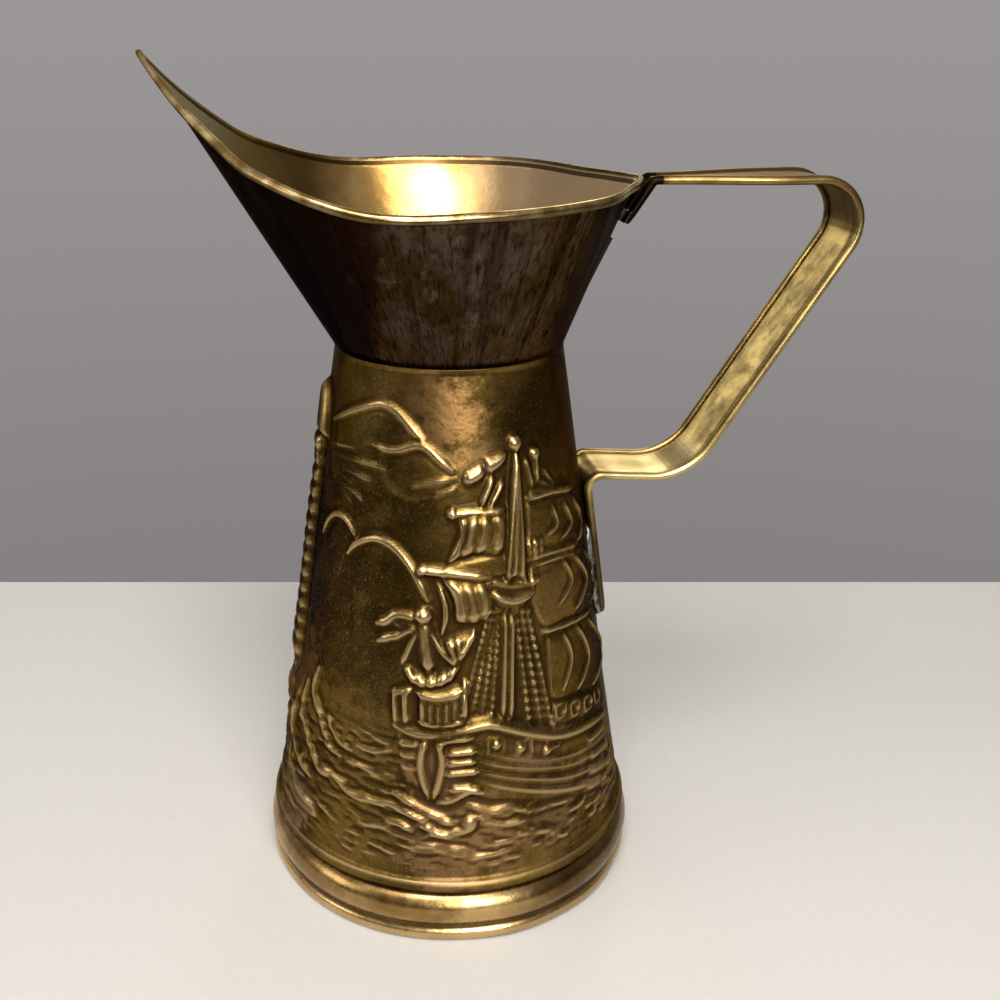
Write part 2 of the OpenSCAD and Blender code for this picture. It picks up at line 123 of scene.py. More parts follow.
def smoothstep(x: Any) -> Any:
    """3x^2 - 2x^3, with x held between 0 and 1."""
    x = np.clip(x, 0.0, 1.0)
    return x * x * (3.0 - 2.0 * x)


def waves(*axes: Array, scales: Sequence[float], seed: int) -> Array:
    """Smooth unevenness between about -1 and 1.

    It is the mean of six sines of slanted phases, sum(sin(k . x / scale + p)) / 3, whose
    directions k and phases p come from the seed.

    Args:
        axes: Coordinate arrays that broadcast together.
        scales: Length of a wave along each axis, in that axis's unit.
        seed: Seed of the directions and phases.

    Returns:
        The uneven field, of the broadcast shape.
    """
    rng = np.random.default_rng(SEED + seed)
    total: Any = 0.0
    for _ in range(6):
        phase: Any = rng.uniform(0.0, 2.0 * math.pi)
        for axis, scale in zip(axes, scales):
            phase = phase + axis * (2.0 * math.pi / scale) * rng.uniform(-1.4, 1.4)
        total = total + np.sin(phase)
    return total / 3.0


def flowing_line(points: Sequence[Point], steps: int = 5) -> Array:
    """A Catmull-Rom curve through the points.

    Args:
        points: The points to pass through, in order.
        steps: Pieces that each span between two points is cut into.

    Returns:
        An array of points, (n, 2).
    """
    p = np.asarray(points, float)
    if len(p) < 3:
        return p
    p = np.vstack((2 * p[0] - p[1], p, 2 * p[-1] - p[-2]))
    t = np.arange(steps)[:, None] / steps
    a, b, c, d = p[:-3, None], p[1:-2, None], p[2:-1, None], p[3:, None]
    spans = 0.5 * (
        2 * b + (c - a) * t + (2 * a - 5 * b + 4 * c - d) * t**2 + (3 * b - a - 3 * c + d) * t**3
    )
    return np.vstack((spans.reshape(-1, 2), p[-2]))


def softened(field: Array, cells: float) -> Array:
    """A field blurred along both of its axes by a bell curve, exp(-(k / cells)^2 / 2).

    Args:
        field: The field, (n, m).
        cells: The bell curve's width, in cells of the grid.

    Returns:
        The blurred field, of the same shape.
    """
    reach = int(3 * cells) + 1
    weights = np.exp(-0.5 * (np.arange(-reach, reach + 1) / cells) ** 2)
    weights /= weights.sum()
    for axis in (0, 1):
        pad = [(0, 0), (0, 0)]
        pad[axis] = (reach, reach)
        wide = np.pad(field, pad, mode="edge")
        size = field.shape[axis]
        parts = (w * np.take(wide, np.arange(k, k + size), axis=axis) for k, w in enumerate(weights))
        field = sum(parts)
    return field


# ---------------------------------------------------------------- meshes


def skin(
    name: str,
    points: Array,
    wrap: tuple[bool, bool],
    attributes: dict[str, Array],
    caps: Sequence[Sequence[int]] = (),
) -> bpy.types.Object:
    """A smooth mesh over a grid of points, with its faces turned outward.

    Args:
        name: Name of the object and of its mesh.
        points: Grid of points in millimetres, (rows, columns, 3).
        wrap: Whether the rows, and the columns, close on themselves.
        attributes: Point attributes by name: (rows, columns) for a number, (rows, columns, 3) for
            a vector.
        caps: Further faces, as lists of point numbers.

    Returns:
        The object, linked to the scene.
    """
    rows, cols = points.shape[:2]
    number = np.arange(rows * cols).reshape(rows, cols)
    here = number[: rows if wrap[0] else rows - 1, : cols if wrap[1] else cols - 1]
    down = np.roll(number, -1, 0)[: here.shape[0], : here.shape[1]]
    right = np.roll(number, -1, 1)[: here.shape[0], : here.shape[1]]
    both = np.roll(np.roll(number, -1, 0), -1, 1)[: here.shape[0], : here.shape[1]]
    quads = np.stack((here, down, both, right), -1).reshape(-1, 4)
    flat = points.reshape(-1, 3)
    corner = flat[quads]
    volume = np.einsum("ij,ij->i", corner[:, 0], np.cross(corner[:, 1], corner[:, 2])).sum()
    volume += np.einsum("ij,ij->i", corner[:, 0], np.cross(corner[:, 2], corner[:, 3])).sum()
    if volume < 0:
        quads = quads[:, ::-1]
    mesh = bpy.data.meshes.new(name)
    mesh.from_pydata((flat * MM).tolist(), [], quads.tolist() + [list(face) for face in caps])
    for key, values in attributes.items():
        vector = values.ndim == 3
        layer = mesh.attributes.new(key, "FLOAT_VECTOR" if vector else "FLOAT", "POINT")
        layer.data.foreach_set("vector" if vector else "value", values.astype(np.float32).ravel())
    mesh.polygons.foreach_set("use_smooth", np.ones(len(mesh.polygons), bool))
    mesh.update()
    made = bpy.data.objects.new(name, mesh)
    bpy.context.scene.collection.objects.link(made)
    return made


def end_faces(rows: int, columns: int) -> list[list[int]]:
    """The faces that close both ends of a tube, as point numbers of its (rows, columns) grid."""
    return [list(range(columns)), list(range((rows - 1) * columns, rows * columns))[::-1]]


def arc(centre: Point, r: float, start: float, end: float, count: int) -> list[Point]:
    """Points (cx + r cos a, cy + r sin a) for angles a from start to end, in degrees."""
    turn = np.radians(np.linspace(start, end, count))
    return [(centre[0] + r * math.cos(t), centre[1] + r * math.sin(t)) for t in turn]


def turned(angles: Array, radii: Array, heights: Array) -> Array:
    """Grid of points on rings: (r cos a, r sin a, z), with the angles in degrees along axis 0."""
    a = np.radians(angles)[:, None]
    return np.stack(np.broadcast_arrays(radii * np.cos(a), radii * np.sin(a), heights), -1)


# ---------------------------------------------------------------- materials


def srgb(code: str) -> tuple[float, float, float, float]:
    """The linear colour of an sRGB hex code such as 8b6f3a.

    Args:
        code: Six hex digits, without a mark before them.

    Returns:
        Red, green, blue and an opacity of 1.
    """
    parts = [int(code[i : i + 2], 16) / 255 for i in (0, 2, 4)]
    linear = [c / 12.92 if c <= 0.04045 else ((c + 0.055) / 1.055) ** 2.4 for c in parts]
    return (linear[0], linear[1], linear[2], 1.0)


def add(tree: bpy.types.NodeTree, kind: str, inputs: dict[Any, Any], out: Any = 0, **settings: Any) -> Any:
    """Adds a node with its settings and its linked or fixed inputs.

    Args:
        tree: The node tree that gets the node.
        kind: The node's type, without its ShaderNode prefix.
        inputs: Sockets, values or hex colours by the input's name or number.
        out: Name or number of the output that is wanted.
        settings: Properties of the node.

    Returns:
        The socket of that output, or None where the node has no outputs.
    """
    node = tree.nodes.new("ShaderNode" + kind)
    for key, value in settings.items():
        setattr(node, key, value)
    for key, value in inputs.items():
        if isinstance(value, bpy.types.NodeSocket):
            tree.links.new(value, node.inputs[key])
        else:
            node.inputs[key].default_value = srgb(value) if isinstance(value, str) else value
    return node.outputs[out] if node.outputs else None


class Join(Enum):
    """How several ramps make one value."""

    SUM = "ADD"
    PRODUCT = "MULTIPLY"


@dataclass(frozen=True)
class Ramp:
    """A soft S from at_start to at_end while a value goes from start to end, level beyond them."""

    value: Any
    start: float
    end: float
    at_end: float = 1.0
    at_start: float = 0.0


class Finish:
    """A material: a node tree that a subclass fills in, in the object's own millimetres."""

    name = "finish"

    def __init__(self) -> None:
        """Starts the tree with the place in millimetres, whole and along each axis."""
        self.material = bpy.data.materials.new(self.name)
        self.material.use_nodes = True
        self.tree = self.material.node_tree
        self.tree.nodes.clear()
        where = self.node("TexCoord", {}, "Object")
        self.place = self.node("VectorMath", {0: where, 1: (1.0 / MM,) * 3}, operation="MULTIPLY")
        self.x, self.y, self.z = self.node("SeparateXYZ", {0: self.place}).node.outputs
        self.paint()

    def node(self, kind: str, inputs: dict[Any, Any], out: Any = 0, **settings: Any) -> Any:
        """An output of a new node of this material."""
        return add(self.tree, kind, inputs, out, **settings)

    def patches(
        self,
        size: float,
        detail: float = 3.0,
        rough: float = 0.55,
        flow: Any = None,
        squeeze: Place = (1.0, 1.0, 1.0),
    ) -> Any:
        """Cloudy patches, from 0 to 1, on the object or along the sheet's own directions.

        Args:
            size: Width of a patch in millimetres.
            detail: How many times finer patches, each half as wide, are added.
            rough: How much each finer size counts.
            flow: Coordinates along the sheet in millimetres, or None for the object's own.
            squeeze: What those are multiplied by: a small number draws the patches out.

        Returns:
            The value's socket.
        """
        at = self.place
        if flow is not None:
            at = self.node("VectorMath", {0: flow, 1: squeeze}, operation="MULTIPLY")
        inputs = {"Vector": at, "Scale": 1.0 / size, "Detail": detail, "Roughness": rough}
        return self.node("TexNoise", inputs)

    def joined(self, how: Join, *ramps: Any) -> Any:
        """The sum or the product of ramps.

        Args:
            how: Whether they are added or multiplied.
            ramps: Ramps, or sockets that are taken as they are.

        Returns:
            The value's socket.
        """
        total: Any = None
        for ramp in ramps:
            if isinstance(ramp, Ramp):
                inputs = {0: ramp.value, 1: ramp.start, 2: ramp.end, 3: ramp.at_start, 4: ramp.at_end}
                ramp = self.node("MapRange", inputs, interpolation_type="SMOOTHSTEP")
            total = ramp if total is None else self.node("Math", {0: total, 1: ramp}, operation=how.value)
        return total

    def layered(self, base: Any, *layers: tuple[Any, ...]) -> Any:
        """A colour with others laid over it in turn.

        Args:
            base: The lowest colour, as a hex code or a socket.
            layers: For each layer its colour, then the ramps whose product is its share.

        Returns:
            The colour's socket.
        """
        for colour, *ramps in layers:
            inputs = {0: self.joined(Join.PRODUCT, *ramps), 6: base, 7: colour}
            base = self.node("Mix", inputs, 2, data_type="RGBA")
        return base

    def metal(
        self,
        colour: Any,
        rough: Sequence[Ramp],
        height: Any,
        depth: float,
        edge: Any = "ffffff",
        coat: float = 0.0,
    ) -> None:
        """The metal's surface.

        Args:
            colour: Colour of the metal seen square on.
            rough: Ramps whose sum is its roughness.
            height: Height of its unevenness, which runs over depth.
            depth: That height in millimetres.
            edge: Tint of the metal seen at a glancing angle, where a patina dulls it.
            coat: Share of old lacquer over the metal, which glints along its edges.
        """
        inputs = {
            "Base Color": colour,
            "Metallic": 1.0,
            "Roughness": self.joined(Join.SUM, *rough),
            "Normal": self.node("Bump", {"Height": height, "Distance": depth * MM, "Strength": 1.0}),
            "Specular Tint": edge,
            "Coat Weight": coat,
            "Coat Roughness": 0.12,
        }
        self.node("OutputMaterial", {"Surface": self.node("BsdfPrincipled", inputs)})

    def paint(self) -> None:
        """Fills in the tree."""
        raise NotImplementedError


# Stains of the body, as (middle, radius, colour, share): bright where hands and cloths rubbed it,
# darker over the left side, the upper right and the back, and pinkish where the zinc has gone out of
# the brass; the two pale ones low at the right and left edges are painted highlights
STAINS: tuple[tuple[Place, float, str, float], ...] = (
    ((-6.0, -35.0, 162.0), 14.0, "9c774a", 0.75),
    ((3.0, -38.0, 150.0), 8.0, "96744a", 0.6),
    ((-30.0, -27.0, 141.0), 19.0, "35270d", 0.75),
    ((-37.0, -29.0, 93.0), 27.0, "35270d", 0.75),
    ((-13.0, -50.0, 58.0), 11.0, "9a7852", 0.7),
    ((26.0, -38.0, 108.0), 22.0, "886a3c", 0.5),
    ((-40.0, -18.0, 112.0), 34.0, "33240c", 0.75),
    ((-34.0, -12.0, 158.0), 15.0, "5a4512", 0.7),
    ((24.0, -30.0, 155.0), 20.0, "3d2c10", 0.7),
    ((-6.0, -58.0, 34.0), 24.0, "947250", 0.6),
    ((22.0, -52.0, 60.0), 14.0, "9a7858", 0.5),
    ((28.0, -49.0, 37.0), 15.0, "856a4e", 0.55),
    # painted highlights: pale patches low at the right and left edges, for a glancing reflection
    ((48.0, -32.0, 42.0), 20.0, "a08a78", 0.6),
    ((-52.0, -18.0, 30.0), 15.0, "a08a78", 0.6),
    ((-50.0, 20.0, 60.0), 30.0, "93704f", 0.4),
    ((0.0, 50.0, 90.0), 30.0, "93704f", 0.4),
    ((20.0, 38.0, 140.0), 20.0, "3d2c10", 0.5),
)


class BodyPatina(Finish):
    """Sheet brass, stamped in a die, tarnished and rubbed for years: it shows olive brown with
    blotches, near black in the recesses and pale gold on the high spots of the picture."""

    name = "brass_body_patina"

    def paint(self) -> None:
        """Colours by the wear_and_painted_light attribute, from -1 in the recesses to 1 on the high spots,
        with painted shade under the bead and along its top edge.
        """
        wear_and_painted_light = self.node("Attribute", {}, "Fac", attribute_name="wear_and_painted_light")
        fine = self.patches(5.0, 5.0, 0.65)
        plain = self.layered("4a3a16", ("735b2c", Ramp(self.patches(26.0, 4.0), 0.38, 0.62)))
        ragged = self.joined(Join.SUM, Ramp(fine, 0.2, 0.8, 0.5, -0.5))
        for place, radius, code, share in STAINS:
            away = self.node("VectorMath", {0: self.place, 1: place}, "Value", operation="DISTANCE")
            away = self.node("Math", {0: ragged, 1: radius, 2: away}, operation="MULTIPLY_ADD")
            plain = self.layered(plain, (code, Ramp(away, radius, 0.4 * radius, share)))
        # The sheet's pits are about 0.1 mm wide, too fine to show, so the flecks are drawn at 0.8 mm
        fleck = self.patches(0.8, 4.0, 0.8)
        low, high = (
            self.node("Math", {0: fine, 1: part, 2: wear_and_painted_light}, operation="MULTIPLY_ADD") for part in (0.3, 0.35)
        )
        # grime in the recesses of the picture, and painted shade under the bead and along its top edge
        grime_and_shade = self.joined(Join.SUM, Ramp(low, 0.05, -0.6, 0.8))
        rubbed = self.joined(Join.SUM, Ramp(high, 0.4, 1.2))
        colour = self.layered(
            plain,
            ("3f2d10", Ramp(fine, 0.5, 0.75, 0.6)),
            ("ab8a58", Ramp(fleck, 0.54, 0.68, 0.5)),
            ("2c1f0a", Ramp(fleck, 0.44, 0.34, 0.5)),
            ("302009", grime_and_shade),
            ("b0966a", rubbed),
        )
        rough = (
            Ramp(rubbed, 0.0, 1.0, 0.31, 0.35),
            Ramp(grime_and_shade, 0.0, 1.0, 0.15),
            Ramp(self.z, 24.0, 22.5, 0.14),
        )
        inputs = {0: self.patches(9.0, 2.0), 1: 1.5, 2: self.patches(2.2)}
        height = self.node("Math", inputs, operation="MULTIPLY_ADD")
        self.metal(colour, rough, height, 0.09, "86826a", 0.06)


class CollarBrass(Finish):
    """Sheet brass, rolled and drawn over a stake, darkened outside and wiped inside: it shows near
    black with upright purple-grey streaks, bright gold in the funnel and on the rubbed rim. Painted
    reflections make the outside lighter at the right and near black at the left, and the inside pale
    right of the funnel's highlight and grey towards the lip; painted shade darkens the roll's underside."""

    name = "brass_collar_streaked"

    def paint(self) -> None:
        """Colours by the side attribute, 0 outside, 1 inside and 2 on the rim's bead."""
        side = self.node("Attribute", {}, "Fac", attribute_name="side")
        flow = self.node("Attribute", {}, "Vector", attribute_name="flow")
        streak = self.patches(1.0, 5.0, 0.8, flow, (1.0, 0.17, 1.0))
        column = self.patches(4.0, 4.0, 0.6, flow, (1.0, 0.03, 1.0))
        dark = self.layered(
            "3a2c14",
            ("51443a", Ramp(self.patches(15.0, 3.0, 0.7), 0.4, 0.62)),
            ("6a5a50", Ramp(self.patches(8.0), 0.56, 0.66, 0.5)),
            ("564024", Ramp(self.z, 194.0, 180.0, 0.4)),
            # painted reflection: lighter towards +X, where the floor shows
            ("725c3c", Ramp(self.x, 4.0, 30.0, 0.5)),
            ("22180c", Ramp(column, 0.48, 0.64, 0.6)),
            ("160f08", Ramp(streak, 0.48, 0.6, 0.8)),
            # painted reflection: near black left of x = -22 mm, the dark side of the reflection
            ("220f06", Ramp(self.x, -22.0, -28.0, 0.85)),
        )
        gold = self.layered(
            "a6834a",
            ("cbaa70", Ramp(self.patches(16.0, 4.0), 0.35, 0.7)),
            ("7a5827", Ramp(self.patches(4.0, 4.0, 0.7), 0.55, 0.8, 0.5)),
            # painted highlight: pale cream inside, right of the funnel's highlight
            ("e6c9a2", Ramp(self.x, 8.0, 36.0, 0.7)),
            ("4c3a1c", Ramp(self.x, -22.0, -40.0, 0.85)),
            # painted reflection: grey inside towards the lip's tip
            ("857f6e", Ramp(self.x, -52.0, -70.0, 0.85)),
        )
        bead = self.layered(
            "927748",
            ("e4cb98", Ramp(self.patches(6.0), 0.35, 0.7)),
            ("55452a", Ramp(self.x, -45.0, -90.0, 0.75)),
            ("382c18", Ramp(self.x, 22.0, 40.0, 0.9)),
            # painted shade: darker on the roll's lower, outer side
            ("4a3718", Ramp(side, 2.1, 2.35, 0.8)),
            ("2a1c0c", Ramp(self.y, 1.0, 4.0), Ramp(self.x, -22.0, -34.0, 0.85)),
        )
        colour = self.layered(
            dark,
            (gold, Ramp(side, 0.3, 0.7)),
            (bead, Ramp(side, 1.3, 1.7)),
            ("241505", Ramp(side, 1.2, 1.26), Ramp(side, 1.34, 1.28, 0.85)),
        )
        glance = self.layered("fff0d0", ("b4ac98", Ramp(self.x, -35.0, -70.0)))
        glance = self.layered("2c1e12", (glance, Ramp(side, 0.3, 0.7)))
        rough = (Ramp(side, 0.3, 0.7, 0.25, 0.4), Ramp(self.x, -35.0, -75.0, 0.25))
        height = self.node("Math", {0: streak, 1: 0.5, 2: self.patches(3.0)}, operation="MULTIPLY_ADD")
        self.metal(colour, rough, height, 0.06, glance, 0.02)


class FootBrass(Finish):
    """Sheet brass, spun on a lathe and polished: it shows warm coppery gold with pink and brown
    stains, with painted shade in the grooves, under the hem and on the side towards the handle, and a
    painted highlight on the hem."""

    name = "brass_foot_warm"

    def paint(self) -> None:
        """Colours by the wear_and_painted_light attribute, which is low in the grooves and under the hem for
        painted shade and high on the hem for a painted highlight.
        """
        wear_and_painted_light = self.node("Attribute", {}, "Fac", attribute_name="wear_and_painted_light")
        fine = self.patches(3.5, 4.0, 0.65)
        colour = self.layered(
            "8e7042",
            ("c4a670", Ramp(self.patches(18.0, 4.0), 0.35, 0.68)),
            ("b07a55", Ramp(self.patches(11.0, 2.0), 0.6, 0.72, 0.4)),
            ("6a4c2a", Ramp(fine, 0.52, 0.8, 0.5)),
            # painted shade: darker towards +X, on the side towards the handle
            ("4a341a", Ramp(self.x, 4.0, 32.0, 0.8)),
            # painted shade where the mark is low, in the grooves and under the hem, and a painted highlight
            # where it is high, on the hem
            ("38240f", Ramp(wear_and_painted_light, -0.1, -1.0)),
            ("dcbd86", Ramp(wear_and_painted_light, 0.55, 1.0, 0.6)),
        )
        height = self.node("Math", {0: fine, 1: self.patches(8.0, 2.0)}, operation="ADD")
        self.metal(colour, (Ramp(fine, 0.3, 0.8, 0.36, 0.24),), height, 0.1)


class HandleBrass(Finish):
    """Sheet brass, rolled at its edges and bent, then rubbed by hands: it shows pale gold with
    olive and brown blotches, painted shade in the corner by the roll at -Y, a painted shadow on the
    upper tang, dark on the lower tang and a painted highlight on the lower arm."""

    name = "brass_handle_rubbed"

    def paint(self) -> None:
        """Colours by the wear_and_painted_light attribute, which is high on the rolled edges, low in the
        corner by the roll at -Y for painted shade and lowest on the upper tang for a painted shadow.
        """
        wear_and_painted_light = self.node("Attribute", {}, "Fac", attribute_name="wear_and_painted_light")
        fine = self.patches(5.0, 4.0, 0.6)
        colour = self.layered(
            "98855a",
            ("ccb574", Ramp(self.patches(8.0, 3.0, 0.6), 0.36, 0.66)),
            ("6f5527", Ramp(fine, 0.5, 0.78, 0.35)),
            # darker where the mark is low: painted shade in the corner by the roll at -Y, and darker on the
            # tangs and the top arm
            ("523c18", Ramp(wear_and_painted_light, 0.1, -0.5, 0.8)),
            ("8e7546", Ramp(wear_and_painted_light, 0.2, 0.5, 0.5)),
            ("6e5430", Ramp(self.z, 206.0, 216.0, 0.7)),
            # painted highlight: pale gold on the lower arm
            ("dcc893", Ramp(self.z, 142.0, 136.0, 0.6), Ramp(self.x, 46.0, 52.0)),
            ("33271a", Ramp(self.z, 124.0, 110.0, 0.85)),
            # painted shadow: near black on the upper tang
            ("1a1109", Ramp(wear_and_painted_light, -0.8, -1.4)),
        )
        self.metal(colour, (Ramp(fine, 0.3, 0.8, 0.44, 0.3),), self.patches(7.0, 2.0), 0.08, "d2ccc0")


class WireBrass(Finish):
    """Brass, drawn to wire or left as plain sheet: it shows a dull gold with small stains."""

    name = "brass_wire_dull"

    def paint(self) -> None:
        """A dull gold with small stains."""
        stain = self.patches(2.5, 4.0)
        colour = self.layered("a98647", ("6b5026", Ramp(stain, 0.4, 0.7)))
        self.metal(colour, (Ramp(stain, 0.3, 0.7, 0.5, 0.35),), stain, 0.04)


class SolderGrey(Finish):
    """Soft solder of tin and lead, melted on with an iron: it shows silvery grey lumps with dull
    and yellowed patches, darker above 130 mm by the rim, which paints the shade under the upper tang."""

    name = "solder_tin_lead"

    def paint(self) -> None:
        """Grey with a yellowed stain, over lumps two to three millimetres wide."""
        lumps = self.patches(2.6, 4.0)
        colour = self.layered(
            "4c463e",
            ("a4a4a0", Ramp(lumps, 0.35, 0.7)),
            ("5a4a30", Ramp(self.patches(7.0, 2.0), 0.55, 0.75, 0.6)),
            # painted shade: near black above 130 mm, under the upper tang and by the rim
            ("1c150c", Ramp(self.z, 130.0, 145.0, 0.85)),
        )
        self.metal(colour, (Ramp(lumps, 0.3, 0.7, 0.26, 0.42),), lumps, 0.35)


class PalePaper(Finish):
    """Matt paper, rolled out as the studio's floor: it shows an even off-white."""

    name = "floor_pale"

    def paint(self) -> None:
        """A matt off-white with a grain too faint to draw the eye."""
        colour = self.layered("bebdba", ("c5c4c1", self.patches(3.0, 2.0)))
        surface = self.node("BsdfPrincipled", {"Base Color": colour, "Roughness": 0.75})
        self.node("OutputMaterial", {"Surface": surface})


# ---------------------------------------------------------------- the pressed picture

